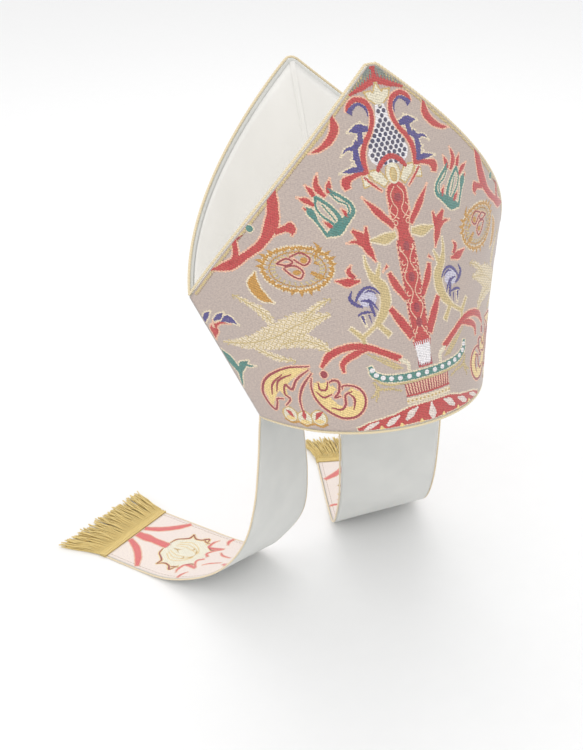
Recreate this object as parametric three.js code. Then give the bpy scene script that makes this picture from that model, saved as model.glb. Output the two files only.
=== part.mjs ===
import * as THREE from "three";

// A bishop's mitre as it is worn: two stiff brocade panels joined at the sides, a satin gusset
// folded down between their peaks, and two fringed lappets that hang from the back.
// Millimetres, +Z up. The wearer faces -Y and the wearer's left is +X. The origin is the middle
// of the head opening, where a head carries the mitre.

const LEAN = THREE.MathUtils.degToRad(8.7); // the crown tips backwards
const WALL = 2.5; // brocade, stiffener and lining together
const SEWN_GAP = 0.4; // between faces that are sewn together
const PEAK_RADIUS = 10;

// A panel is a flat pattern bent round the head. At three heights, "out" is how far its centre
// line stands in front of or behind the head's middle, "radius" is that of the bend there, and
// "easing" is how much of the turn, in radians, is lost again 100 mm from the centre line.
const FRONT = {
  facing: -1,
  height: 292,
  rimHalfWidth: 153,
  cornerHalfWidth: 187,
  cornerHeight: 107.5,
  edgeBulge: 12.5,
  rim: { out: 87.5, radius: 102.5, easing: 0.094 },
  middle: { out: 64, radius: 195, easing: 0.039 },
  peak: { out: 31.5, radius: 336, easing: -0.015 },
};
const BACK = {
  facing: 1,
  height: 293,
  rimHalfWidth: 150.5,
  cornerHalfWidth: 183,
  cornerHeight: 108.5,
  edgeBulge: 9.5,
  rim: { out: 86.5, radius: 106, easing: 0.085 },
  middle: { out: 95.5, radius: 176, easing: 0.085 },
  peak: { out: 95.5, radius: 257, easing: 0.085 },
};
const HEM = 3; // the wall starts this far up the pattern, above the rim piping
const SIDE_LIFT = 8.6; // how far the pattern rises at SIDE_LIFT_AT from the centre line
const SIDE_LIFT_AT = 150;
const SEAM_FOOT = new THREE.Vector3(113.8, 1.7, 9);
const SEAM_CORNER = new THREE.Vector3(160.4, 14.2, 124.6);
const SEAM_GAP = 0.4;
const MITRE_FADE = 40; // above the corner, the panel's edge turns square to its faces

const PANEL_COLUMNS = 24;
const SEAM_ROWS = 6;
const FIRST_EDGE_ROW = 6; // height of the first row above the corner
const EDGE_ROWS = 11;
const PEAK_ROWS = 3;
const LAST_PEAK_ANGLE = THREE.MathUtils.degToRad(12);

const PIPING_RADIUS = 1.3;
const PIPING_GAP = 0.4;
const EDGE_PIPING_STEPS = 110;
const RIM_PIPING_GAP = 0.6;
const RIM_PIPING_STEPS = 120;
const HALF_CIRCLE_SIDES = 3; // a cord's section is a hexagon

// The gusset hangs between the free edges and folds along a valley from corner to corner.
const SATIN = 1;
const GUSSET_INSET = 3; // from the panel's free edge
const GUSSET_ROWS = 12;
const VALLEY_CENTRE = { y: 36, z: 114 };
const VALLEY_NARROWING = 0.88;

// A lappet is a flat band whose width runs at LAPPET_TURN to the wearer's shoulders. "back" and
// "up" place its outer and inner edge, a row for each bend, from the rim to the fringe.
const LAPPET_THICKNESS = 2;
const LAPPET_TURN = THREE.MathUtils.degToRad(25);
const LAPPET_OUTER = -76.5;
const LAPPET_INNER = 18;
const LAPPET_SEWN_HEIGHTS = [14, HEM]; // up the back panel, where it is sewn on
const LAPPET_SEWN_OUTER = 118; // distance of its edges from the centre back, along the rim
const LAPPET_SEWN_INNER = 24;
const FLOOR = -234; // the level that the ends of the lappets lie on
const LYING = FLOOR + LAPPET_THICKNESS / 2;
const LAPPET_PATH = [
  { outer: { back: 72, up: -20 }, inner: { back: 93, up: -36 } },
  { outer: { back: 75, up: -60 }, inner: { back: 90, up: -76 } },
  { outer: { back: 80, up: -100 }, inner: { back: 87, up: -116 } },
  { outer: { back: 92, up: -144 }, inner: { back: 92, up: -161 } },
  { outer: { back: 115, up: -181 }, inner: { back: 114, up: -198 } },
  { outer: { back: 145, up: -207 }, inner: { back: 142, up: -226 } },
  { outer: { back: 194, up: -229 }, inner: { back: 192, up: LYING } },
  { outer: { back: 231, up: LYING }, inner: { back: 230, up: LYING } },
  { outer: { back: 275, up: LYING }, inner: { back: 275, up: LYING } },
];
const LAPPET_COLUMNS = 8;
const LAPPET_ROWS = 26;
const LAPPET_PIPING_RADIUS = 1;
const LAPPET_PIPING_STEPS = 64;

const HEADING_DEPTH = 8;
const HEADING_OVERHANG = 3; // past each edge of the lappet
const HEADING_THICKNESS = 4;
const FRINGE_LENGTH = 49;
const FRINGE_SPREAD = 12; // how far it splays past the heading on each side
const FRINGE_THICKNESS = { heading: 5, tips: 3 };
const FRINGE_COLUMNS = 12;
const FRINGE_ROWS = 4;

const BROCADE = { color: 0xcdc6c3, roughness: 0.65, metalness: 0 };
const WHITE_SATIN = { color: 0xece9e6, roughness: 0.35, metalness: 0 };
const GOLD_CORD = { color: 0xc9ab6c, roughness: 0.5, metalness: 0.3 };
const BULLION = { color: 0xc8a24a, roughness: 0.4, metalness: 0.7 };

const { lerp } = THREE.MathUtils;

// ---- closed bodies made from grids of points ------------------------------------------------

function makeGrid(rows, columns, pointAt) {
  const row = (j) => Array.from({ length: columns + 1 }, (_, i) => pointAt(i, j));
  return Array.from({ length: rows + 1 }, (_, j) => row(j));
}

// The normal at a grid point is square to its row and its column.
function gridNormal(grid, i, j) {
  const row = grid[j];
  const along = row[Math.min(i + 1, row.length - 1)].clone().sub(row[Math.max(i - 1, 0)]);
  const up = grid[Math.min(j + 1, grid.length - 1)][i].clone().sub(grid[Math.max(j - 1, 0)][i]);
  return along.cross(up).normalize();
}

function offsetGrid(grid, distance) {
  const move = (i, j) => grid[j][i].clone().addScaledVector(gridNormal(grid, i, j), distance);
  return makeGrid(grid.length - 1, grid[0].length - 1, move);
}

// A body between two grids: the outer one faces out, and four narrow walls close the edges.
function bodyBetween(outer, inner) {
  const rows = outer.length - 1;
  const columns = outer[0].length - 1;
  const positions = [...outer.flat(), ...inner.flat()].flatMap((p) => [p.x, p.y, p.z]);
  const outerAt = (i, j) => j * (columns + 1) + i;
  const innerAt = (i, j) => (rows + 1) * (columns + 1) + outerAt(i, j);
  const index = [];
  const addQuad = (a, b, c, d) => index.push(a, b, c, a, c, d);
  for (let j = 0; j < rows; j++) {
    for (let i = 0; i < columns; i++) {
      addQuad(outerAt(i, j), outerAt(i + 1, j), outerAt(i + 1, j + 1), outerAt(i, j + 1));
      addQuad(innerAt(i, j), innerAt(i, j + 1), innerAt(i + 1, j + 1), innerAt(i + 1, j));
    }
  }
  for (let i = 0; i < columns; i++) {
    addQuad(innerAt(i, 0), innerAt(i + 1, 0), outerAt(i + 1, 0), outerAt(i, 0));
    addQuad(outerAt(i, rows), outerAt(i + 1, rows), innerAt(i + 1, rows), innerAt(i, rows));
  }
  for (let j = 0; j < rows; j++) {
    addQuad(innerAt(0, j + 1), innerAt(0, j), outerAt(0, j), outerAt(0, j + 1));
    addQuad(outerAt(columns, j + 1), outerAt(columns, j), innerAt(columns, j), innerAt(columns, j + 1));
  }
  const geometry = new THREE.BufferGeometry();
  geometry.setAttribute("position", new THREE.Float32BufferAttribute(positions, 3));
  geometry.setIndex(index);
  geometry.computeVertexNormals();
  return geometry;
}

function namedMesh(name, geometry, look) {
  const mesh = new THREE.Mesh(geometry, new THREE.MeshStandardMaterial(look));
  mesh.name = name;
  return mesh;
}

function cordAlong(points, radius, steps) {
  const section = new THREE.Shape().absarc(0, 0, radius, 0, 2 * Math.PI);
  return new THREE.ExtrudeGeometry(section, {
    curveSegments: HALF_CIRCLE_SIDES,
    steps,
    bevelEnabled: false,
    extrudePath: new THREE.CatmullRomCurve3(points),
  });
}

// ---- crown panels ---------------------------------------------------------------------------

// A smooth run through a panel's values at its rim, middle and peak.
function alongHeight(atRim, atMiddle, atPeak, t) {
  return atRim * (1 - t) * (1 - 2 * t) + atMiddle * 4 * t * (1 - t) + atPeak * t * (2 * t - 1);
}

// The rounded peak is an arc that touches both free edges.
function peakArc(panel) {
  const slope = (panel.cornerHalfWidth + 4 * panel.edgeBulge) / (panel.height - panel.cornerHeight);
  const halfAngle = Math.atan(slope);
  const centre = panel.height - PEAK_RADIUS / Math.sin(halfAngle);
  return { centre, startAngle: Math.PI / 2 - halfAngle, start: centre + PEAK_RADIUS * Math.sin(halfAngle) };
}

function halfWidth(panel, height) {
  if (height <= panel.cornerHeight) {
    return lerp(panel.rimHalfWidth, panel.cornerHalfWidth, height / panel.cornerHeight);
  }
  const arc = peakArc(panel);
  if (height > arc.start) {
    return Math.sqrt(PEAK_RADIUS ** 2 - (height - arc.centre) ** 2);
  }
  const fromPeak = (panel.height - height) / (panel.height - panel.cornerHeight);
  return panel.cornerHalfWidth * fromPeak + 4 * panel.edgeBulge * fromPeak * (1 - fromPeak);
}

// Rows of the panel: up the side seam, up the free edge, then round the peak.
function rowHeights(panel) {
  const arc = peakArc(panel);
  const heights = [];
  for (let k = 0; k <= SEAM_ROWS; k++) {
    heights.push(lerp(HEM, panel.cornerHeight, k / SEAM_ROWS));
  }
  const firstEdge = panel.cornerHeight + FIRST_EDGE_ROW;
  for (let k = 0; k <= EDGE_ROWS; k++) {
    heights.push(lerp(firstEdge, arc.start, k / EDGE_ROWS));
  }
  for (let k = 1; k <= PEAK_ROWS; k++) {
    const angle = lerp(Math.PI / 2 - arc.startAngle, LAST_PEAK_ANGLE, k / PEAK_ROWS);
    heights.push(arc.centre + PEAK_RADIUS * Math.cos(angle));
  }
  return heights;
}

// Where a walk across the cloth from its centre line ends up, turning with the bend on the way.
const WALK_STEPS = 24;
function walkAcross(distance, bend, easing) {
  const step = distance / WALK_STEPS;
  let sideways = 0;
  let inwards = 0;
  for (let k = 0; k < WALK_STEPS; k++) {
    const at = (k + 0.5) * step;
    const turn = at * bend - easing * (at / 100) ** 3;
    sideways += Math.cos(turn) * step;
    inwards += Math.sin(turn) * step;
  }
  return { sideways, inwards };
}

function bentPoint(panel, across, height) {
  const t = height / panel.height;
  const { rim, middle, peak } = panel;
  const out = alongHeight(rim.out, middle.out, peak.out, t);
  const bend = alongHeight(1 / rim.radius, 1 / middle.radius, 1 / peak.radius, t);
  const easing = alongHeight(rim.easing, middle.easing, peak.easing, t);
  const distance = across * halfWidth(panel, height);
  const { sideways, inwards } = walkAcross(distance, bend, easing);
  const lift = SIDE_LIFT * Math.abs(distance / SIDE_LIFT_AT) ** 3;
  return new THREE.Vector3(sideways, panel.facing * (out - inwards), height + lift);
}

// The seam plane holds both side seams. It is where the two panels are mitred together.
const SEAM_RUN = SEAM_CORNER.clone().sub(SEAM_FOOT);
const SEAM_FORWARD = new THREE.Vector3(0, -SEAM_RUN.z, SEAM_RUN.y).normalize();

function seamPoint(panel, side, t) {
  const point = SEAM_FOOT.clone().lerp(SEAM_CORNER, t);
  point.x *= side;
  return point.addScaledVector(SEAM_FORWARD, (-panel.facing * SEAM_GAP) / 2);
}

// A point of the panel's outer face. The sides are drawn onto the straight shared seam.
function panelPoint(panel, across, height) {
  const side = Math.sign(across) || 1;
  const t = Math.min(height / panel.cornerHeight, 1);
  const seamHeight = Math.min(height, panel.cornerHeight);
  const shift = seamPoint(panel, side, t).sub(bentPoint(panel, side, seamHeight));
  const fade = Math.min((panel.height - height) / (panel.height - panel.cornerHeight), 1);
  return bentPoint(panel, across, height).addScaledVector(shift, fade * across ** 4);
}

function outerFace(panel) {
  const heights = rowHeights(panel);
  const acrossAt = (i) => -panel.facing * lerp(-1, 1, i / PANEL_COLUMNS);
  const pointAt = (i, j) => panelPoint(panel, acrossAt(i), heights[j]);
  return makeGrid(heights.length - 1, PANEL_COLUMNS, pointAt);
}

// Along the side seams the inner face stops in the seam plane, level with the outer one.
function innerFace(panel, outer) {
  const heights = rowHeights(panel);
  const inner = offsetGrid(outer, -WALL);
  for (let j = 0; j < heights.length; j++) {
    const square = Math.min(Math.max((heights[j] - panel.cornerHeight) / MITRE_FADE, 0), 1);
    for (const i of [0, PANEL_COLUMNS]) {
      const normal = gridNormal(outer, i, j);
      const mitred = outer[j][i].clone();
      mitred.x -= WALL / normal.x;
      inner[j][i].lerpVectors(mitred, inner[j][i], square);
    }
  }
  return inner;
}

function panelFaces(panel) {
  const outer = outerFace(panel);
  return { panel, outer, inner: innerFace(panel, outer) };
}

// The free edge, from the right corner over the peak to the left corner, as frames that hold a
// point of the outer face, the way through the wall to it and the way out past the edge.
function freeEdge({ panel, outer }) {
  const rightColumn = panel.facing < 0 ? 0 : PANEL_COLUMNS;
  const leftColumn = PANEL_COLUMNS - rightColumn;
  const rows = Array.from({ length: outer.length - SEAM_ROWS }, (_, k) => SEAM_ROWS + k);
  const places = [...rows.map((j) => [rightColumn, j]), ...rows.reverse().map((j) => [leftColumn, j])];
  const outerPoints = places.map(([i, j]) => outer[j][i]);
  return places.map(([i, j], k) => {
    const before = outerPoints[Math.max(k - 1, 0)];
    const after = outerPoints[Math.min(k + 1, places.length - 1)];
    const through = gridNormal(outer, i, j);
    const along = after.clone().sub(before);
    const outward = through.clone().cross(along).multiplyScalar(-panel.facing).normalize();
    return { point: outer[j][i], through, outward };
  });
}

function makeEdgePiping(name, faces) {
  const stations = freeEdge(faces).slice(1, -1);
  const centres = stations.map(({ point, through, outward }) =>
    point
      .clone()
      .addScaledVector(through, -WALL / 2)
      .addScaledVector(outward, PIPING_RADIUS + PIPING_GAP),
  );
  return namedMesh(name, cordAlong(centres, PIPING_RADIUS, EDGE_PIPING_STEPS), GOLD_CORD);
}

// The rim piping runs under both panels' lower edges, and its ends meet at the centre back.
function makeRimPiping(front, back) {
  const drop = PIPING_RADIUS + RIM_PIPING_GAP;
  const middles = ({ outer, inner }) =>
    outer[0].map((p, i) => {
      const middle = p.clone().lerp(inner[0][i], 0.5);
      const down = p.clone().sub(outer[1][i]).normalize();
      return middle.addScaledVector(down, drop);
    });
  const frontRun = middles(front);
  const backRun = middles(back);
  const half = PANEL_COLUMNS / 2;
  const endGap = new THREE.Vector3(0.4, 0, 0);
  const route = [
    backRun[half].clone().sub(endGap),
    ...backRun.slice(half + 1, -1),
    backRun[PANEL_COLUMNS].clone().lerp(frontRun[0], 0.5),
    ...frontRun.slice(1, -1),
    frontRun[PANEL_COLUMNS].clone().lerp(backRun[0], 0.5),
    ...backRun.slice(1, half),
    backRun[half].clone().add(endGap),
  ];
  return namedMesh("rim_piping", cordAlong(route, PIPING_RADIUS, RIM_PIPING_STEPS), GOLD_CORD);
}

// ---- crown gusset ---------------------------------------------------------------------------

// Each station hangs in a curve from the front edge through the valley to the back edge.
function makeGusset(front, back) {
  const attach = ({ point, through, outward }) =>
    point
      .clone()
      .addScaledVector(outward, -GUSSET_INSET)
      .addScaledVector(through, -(WALL + SEWN_GAP + SATIN / 2));
  const frontEdge = freeEdge(front).slice(1, -1).map(attach);
  const backEdge = freeEdge(back).slice(1, -1).map(attach);
  const curves = frontEdge.map((from, k) => {
    const to = backEdge[k];
    const middle = from.clone().lerp(to, 0.5);
    const a = (middle.x / SEAM_CORNER.x) ** 2;
    const valley = new THREE.Vector3(
      middle.x * VALLEY_NARROWING,
      lerp(VALLEY_CENTRE.y, SEAM_CORNER.y, a),
      lerp(VALLEY_CENTRE.z, SEAM_CORNER.z, a),
    );
    const control = valley.multiplyScalar(2).sub(middle);
    return new THREE.QuadraticBezierCurve3(from, control, to);
  });
  const pointAt = (i, j) => curves[i].getPoint(j / GUSSET_ROWS);
  const middleFace = makeGrid(GUSSET_ROWS, curves.length - 1, pointAt);
  const upper = offsetGrid(middleFace, SATIN / 2);
  const lower = offsetGrid(middleFace, -SATIN / 2);
  return namedMesh("crown_gusset", bodyBetween(upper, lower), WHITE_SATIN);
}

// ---- lappets --------------------------------------------------------------------------------

function onCrown(point) {
  return point.applyAxisAngle(new THREE.Vector3(1, 0, 0), -LEAN);
}

// The lappet's own directions: "back" away from the wearer, "width" towards the centre back.
function lappetPoint(side, width, back, up) {
  const cos = Math.cos(LAPPET_TURN);
  const sin = Math.sin(LAPPET_TURN);
  return new THREE.Vector3(-side * (width * cos - back * sin), width * sin + back * cos, up);
}

function sewnPoint(side, f, height) {
  const distance = lerp(LAPPET_SEWN_OUTER, LAPPET_SEWN_INNER, f);
  const at = (d) => panelPoint(BACK, (side * d) / halfWidth(BACK, height), height);
  const along = at(distance + 1).sub(at(distance - 1)).multiplyScalar(-side);
  const up = panelPoint(BACK, (side * distance) / halfWidth(BACK, height + 1), height + 1).sub(at(distance));
  const away = along.cross(up).normalize();
  return onCrown(at(distance).addScaledVector(away, SEWN_GAP + LAPPET_THICKNESS / 2));
}

// Points down the lappet from its sewn top to the fringe, f = 0 at the outer edge.
function lappetThread(side, f) {
  const width = lerp(LAPPET_OUTER, LAPPET_INNER, f);
  const hanging = LAPPET_PATH.map(({ outer, inner }) =>
    lappetPoint(side, width, lerp(outer.back, inner.back, f), lerp(outer.up, inner.up, f)),
  );
  const sewn = LAPPET_SEWN_HEIGHTS.map((height) => sewnPoint(side, f, height));
  const thread = new THREE.CatmullRomCurve3([...sewn, ...hanging]).getSpacedPoints(LAPPET_ROWS);
  return thread.map((p) => p.setZ(Math.max(p.z, LYING)));
}

function makeLappet(name, side) {
  const threads = Array.from({ length: LAPPET_COLUMNS + 1 }, (_, i) => {
    const f = side < 0 ? i / LAPPET_COLUMNS : 1 - i / LAPPET_COLUMNS;
    return lappetThread(side, 1 - f);
  });
  const middle = makeGrid(LAPPET_ROWS, LAPPET_COLUMNS, (i, j) => threads[i][LAPPET_ROWS - j]);
  const brocadeFace = offsetGrid(middle, LAPPET_THICKNESS / 2);
  const liningFace = offsetGrid(middle, -LAPPET_THICKNESS / 2);
  return namedMesh(name, bodyBetween(brocadeFace, liningFace), BROCADE);
}

function makeLappetPiping(name, side, f) {
  const edge = lappetThread(side, f);
  const inside = lappetThread(side, lerp(f, 0.5, 0.2));
  const clear = LAPPET_PIPING_RADIUS + PIPING_GAP;
  const centres = edge.map((p, j) => p.clone().addScaledVector(p.clone().sub(inside[j]).normalize(), clear));
  return namedMesh(name, cordAlong(centres, LAPPET_PIPING_RADIUS, LAPPET_PIPING_STEPS), GOLD_CORD);
}

// Where the lappet ends: its two end corners and the way it points along the floor.
function lappetEnd(side) {
  const { outer, inner } = LAPPET_PATH[LAPPET_PATH.length - 1];
  const from = lappetPoint(side, LAPPET_OUTER, outer.back, FLOOR);
  const to = lappetPoint(side, LAPPET_INNER, inner.back, FLOOR);
  const widthways = to.clone().sub(from).normalize();
  const onward = new THREE.Vector3(0, 0, 1).cross(widthways).multiplyScalar(-side);
  return { from, to, widthways, onward };
}

// A band that lies on the floor past the lappet's end, from "near" to "far" along it.
function lyingBand(side, { near, far, overhangNear, overhangFar, thickNear, thickFar, columns, rows }) {
  const { from, to, widthways, onward } = lappetEnd(side);
  const floorPoint = (i, j) => {
    const f = side < 0 ? i / columns : 1 - i / columns;
    const overhang = lerp(overhangNear, overhangFar, j / rows);
    const start = from.clone().addScaledVector(widthways, -overhang);
    const end = to.clone().addScaledVector(widthways, overhang);
    return start.lerp(end, f).addScaledVector(onward, lerp(near, far, j / rows));
  };
  const topPoint = (i, j) => floorPoint(i, j).setZ(FLOOR + lerp(thickNear, thickFar, j / rows));
  return bodyBetween(makeGrid(rows, columns, topPoint), makeGrid(rows, columns, floorPoint));
}

function makeHeading(name, side) {
  const band = {
    near: PIPING_GAP,
    far: PIPING_GAP + HEADING_DEPTH,
    overhangNear: HEADING_OVERHANG,
    overhangFar: HEADING_OVERHANG,
    thickNear: HEADING_THICKNESS,
    thickFar: HEADING_THICKNESS,
    columns: 2,
    rows: 1,
  };
  return namedMesh(name, lyingBand(side, band), BULLION);
}

function makeFringe(name, side) {
  const near = HEADING_DEPTH + 2 * PIPING_GAP;
  const band = {
    near,
    far: near + FRINGE_LENGTH,
    overhangNear: HEADING_OVERHANG,
    overhangFar: HEADING_OVERHANG + FRINGE_SPREAD,
    thickNear: FRINGE_THICKNESS.heading,
    thickFar: FRINGE_THICKNESS.tips,
    columns: FRINGE_COLUMNS,
    rows: FRINGE_ROWS,
  };
  return namedMesh(name, lyingBand(side, band), BULLION);
}

// ---- the assembly ---------------------------------------------------------------------------

function makeCrown() {
  const front = panelFaces(FRONT);
  const back = panelFaces(BACK);
  const crown = new THREE.Group();
  crown.rotation.x = -LEAN;
  crown.add(
    namedMesh("front_panel", bodyBetween(front.outer, front.inner), BROCADE),
    namedMesh("back_panel", bodyBetween(back.outer, back.inner), BROCADE),
    makeGusset(front, back),
    makeEdgePiping("front_edge_piping", front),
    makeEdgePiping("back_edge_piping", back),
    makeRimPiping(front, back),
  );
  return crown;
}

function makeLappetSet(hand, side) {
  const lappet = new THREE.Group();
  lappet.add(
    makeLappet(`lappet_${hand}`, side),
    makeLappetPiping(`lappet_${hand}_outer_piping`, side, 0),
    makeLappetPiping(`lappet_${hand}_inner_piping`, side, 1),
    makeHeading(`fringe_heading_${hand}`, side),
    makeFringe(`fringe_${hand}`, side),
  );
  return lappet;
}

const mitre = new THREE.Group();
mitre.add(makeCrown(), makeLappetSet("right", -1), makeLappetSet("left", 1));

export default mitre;
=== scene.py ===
import math

import bpy
import numpy as np
from mathutils import Matrix, Vector


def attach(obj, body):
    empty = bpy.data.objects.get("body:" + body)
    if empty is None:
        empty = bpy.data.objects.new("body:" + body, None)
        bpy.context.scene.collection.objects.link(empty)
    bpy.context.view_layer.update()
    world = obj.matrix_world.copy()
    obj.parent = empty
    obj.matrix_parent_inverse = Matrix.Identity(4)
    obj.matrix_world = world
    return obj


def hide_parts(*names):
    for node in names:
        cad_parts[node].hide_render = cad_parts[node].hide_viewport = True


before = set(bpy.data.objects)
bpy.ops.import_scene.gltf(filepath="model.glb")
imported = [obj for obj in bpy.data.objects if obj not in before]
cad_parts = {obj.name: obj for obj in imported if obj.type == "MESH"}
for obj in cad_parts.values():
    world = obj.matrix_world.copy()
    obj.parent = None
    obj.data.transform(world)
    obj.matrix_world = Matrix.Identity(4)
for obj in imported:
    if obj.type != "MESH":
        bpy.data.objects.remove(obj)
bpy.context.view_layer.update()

# ---- front and back panels ------------------------------------------------------------------
# Each panel is figured silk brocade over a stiffener, faced inside with white lining, 2.5 mm in
# all. It is cut flat to a peak, bent round the head and sewn to the other panel at both sides.
# Lengths are millimetres of cloth; the crown is drawn upright and then tipped back.
LEAN = math.radians(8.7)
WALL = 2.5
PEAK_RADIUS = 10
HEM = 3
FRONT = dict(
    name="front_panel",
    facing=-1,
    height=292,
    rim_half_width=153,
    corner_half_width=187,
    corner_height=107.5,
    edge_bulge=12.5,
    out=(87.5, 64, 31.5),
    bend=(1 / 102.5, 1 / 195, 1 / 336),
    easing=(0.094, 0.039, -0.015),
)
BACK = dict(
    name="back_panel",
    facing=1,
    height=293,
    rim_half_width=150.5,
    corner_half_width=183,
    corner_height=108.5,
    edge_bulge=9.5,
    out=(86.5, 95.5, 95.5),
    bend=(1 / 106, 1 / 176, 1 / 257),
    easing=(0.085, 0.085, 0.085),
)
SIDE_LIFT = 8.6
SIDE_LIFT_AT = 150
SEAM_FOOT = np.array([113.8, 1.7, 9])
SEAM_CORNER = np.array([160.4, 14.2, 124.6])
SEAM_GAP = 0.4
WALK_STEPS = 24
CLOTH_STEP = 0.5  # how far apart two points are that give the way the cloth runs


def unit(vectors):
    return vectors / np.maximum(np.linalg.norm(vectors, axis=-1, keepdims=True), 1e-12)


def along_height(values, t):
    rim, middle, peak = values
    return rim * (1 - t) * (1 - 2 * t) + middle * 4 * t * (1 - t) + peak * t * (2 * t - 1)


def peak_arc(panel):
    slope = (panel["corner_half_width"] + 4 * panel["edge_bulge"]) / (panel["height"] - panel["corner_height"])
    half_angle = math.atan(slope)
    centre = panel["height"] - PEAK_RADIUS / math.sin(half_angle)
    return centre, half_angle, centre + PEAK_RADIUS * math.sin(half_angle)


def half_width(panel, height):
    height = np.asarray(height, float)
    corner = panel["corner_height"]
    seam = panel["rim_half_width"] + (panel["corner_half_width"] - panel["rim_half_width"]) * height / corner
    from_peak = (panel["height"] - height) / (panel["height"] - corner)
    edge = panel["corner_half_width"] * from_peak + 4 * panel["edge_bulge"] * from_peak * (1 - from_peak)
    centre, _, start = peak_arc(panel)
    arc = np.sqrt(np.clip(PEAK_RADIUS**2 - (height - centre) ** 2, 0, None))
    return np.where(height <= corner, seam, np.where(height > start, arc, edge))


def bent_point(panel, distance, height):
    t = height / panel["height"]
    bend = along_height(panel["bend"], t)
    easing = along_height(panel["easing"], t)
    step = distance / WALK_STEPS
    sideways = np.zeros_like(step)
    inwards = np.zeros_like(step)
    for k in range(WALK_STEPS):
        at = (k + 0.5) * step
        turn = at * bend - easing * (at / 100) ** 3
        sideways += np.cos(turn) * step
        inwards += np.sin(turn) * step
    out = along_height(panel["out"], t)
    lift = SIDE_LIFT * np.abs(distance / SIDE_LIFT_AT) ** 3
    return np.stack([sideways, panel["facing"] * (out - inwards), height + lift], -1)


def panel_point(panel, distance, height):
    distance, height = np.broadcast_arrays(np.asarray(distance, float), np.asarray(height, float))
    across = distance / np.maximum(half_width(panel, height), 1e-6)
    side = np.where(across < 0, -1.0, 1.0)
    corner = panel["corner_height"]
    t = np.minimum(height / corner, 1)
    seam = SEAM_FOOT + (SEAM_CORNER - SEAM_FOOT) * t[..., None]
    run = SEAM_CORNER - SEAM_FOOT
    forward = unit(np.array([0, -run[2], run[1]]))
    seam = seam * np.stack([side, np.ones_like(side), np.ones_like(side)], -1)
    seam = seam - panel["facing"] * SEAM_GAP / 2 * forward
    seam_height = np.minimum(height, corner)
    shift = seam - bent_point(panel, side * half_width(panel, seam_height), seam_height)
    fade = np.minimum((panel["height"] - height) / (panel["height"] - corner), 1)
    return bent_point(panel, distance, height) + (fade * across**4)[..., None] * shift


def panel_normal(panel, distance, height):
    """Out of the cloth's face."""
    low = np.minimum(height, panel["height"] - 2 * CLOTH_STEP)
    across = panel_point(panel, distance + CLOTH_STEP, low) - panel_point(panel, distance - CLOTH_STEP, low)
    up = panel_point(panel, distance, low + CLOTH_STEP) - panel_point(panel, distance, low - CLOTH_STEP)
    return unit(np.cross(across, up)) * -panel["facing"]


def on_crown(points):
    """Tips points of the upright crown back."""
    x, y, z = np.moveaxis(points, -1, 0)
    cos, sin = math.cos(LEAN), math.sin(LEAN)
    return np.stack([x, y * cos + z * sin, z * cos - y * sin], -1)


def make_piece(name, points, faces, cloth=None, finishes=(), slots=None, smooth=True):
    """A mesh from points in millimetres. "cloth" says where on the flat cloth each point lies."""
    mesh = bpy.data.meshes.new(name)
    mesh.from_pydata((np.asarray(points) / 1000).tolist(), [], [list(map(int, f)) for f in faces])
    if cloth is not None:
        attribute = mesh.attributes.new("cloth", "FLOAT_VECTOR", "POINT")
        attribute.data.foreach_set("vector", np.asarray(cloth, np.float32).ravel())
    for finish in finishes:
        mesh.materials.append(finish)
    if slots is not None:
        mesh.polygons.foreach_set("material_index", np.asarray(slots, np.int32))
    mesh.polygons.foreach_set("use_smooth", [smooth] * len(mesh.polygons))
    mesh.update()
    piece = bpy.data.objects.new(name, mesh)
    bpy.context.scene.collection.objects.link(piece)
    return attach(piece, "root")


def grid_faces(rows, columns, start=0, flip=False):
    """Quads of a grid of rows + 1 by columns + 1 points."""
    j, i = np.meshgrid(np.arange(rows), np.arange(columns), indexing="ij")
    a = (start + j * (columns + 1) + i).ravel()
    quads = np.stack([a, a + 1, a + columns + 2, a + columns + 1], -1)
    return quads[:, ::-1] if flip else quads


def rim_faces(rows, columns, start, flip=False):
    """Quads that join the edges of two equal grids, the second of which begins at start."""
    line = columns + 1
    loop = list(range(columns)) + [columns + j * line for j in range(rows)]
    loop += [rows * line + i for i in range(columns, 0, -1)] + [j * line for j in range(rows, 0, -1)]
    loop = np.array(loop)
    following = np.roll(loop, -1)
    quads = np.stack([loop, loop + start, following + start, following], -1)
    return quads[:, ::-1] if flip else quads


class Wire:
    """One shader value. Sums on wires add the Math nodes that work them out."""

    def __init__(self, finish, socket):
        self.finish = finish
        self.socket = socket

    def maths(self, operation, *values):
        return self.finish.node("ShaderNodeMath", {"operation": operation}, values)

    def __add__(self, other):
        return self.maths("ADD", self, other)

    def __sub__(self, other):
        return self.maths("SUBTRACT", self, other)

    def __rsub__(self, other):
        return self.maths("SUBTRACT", other, self)

    def __mul__(self, other):
        return self.maths("MULTIPLY", self, other)

    def __pow__(self, other):
        return self.maths("POWER", self, other)

    __radd__ = __add__
    __rmul__ = __mul__

    def wave(self, period):
        """A smooth wave from 0 to 1 with that period."""
        return self.maths("SINE", self * (2 * math.pi / period)) * 0.5 + 0.5

    def part(self, name):
        """Another output of the node that this wire comes from."""
        return Wire(self.finish, self.socket.node.outputs[name])


def dye(red, green, blue):
    """A linear colour from the shade as it is seen, 0 to 255."""
    shades = [c / 255 for c in (red, green, blue)]
    return [c / 12.92 if c < 0.04045 else ((c + 0.055) / 1.055) ** 2.4 for c in shades] + [1]


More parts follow.
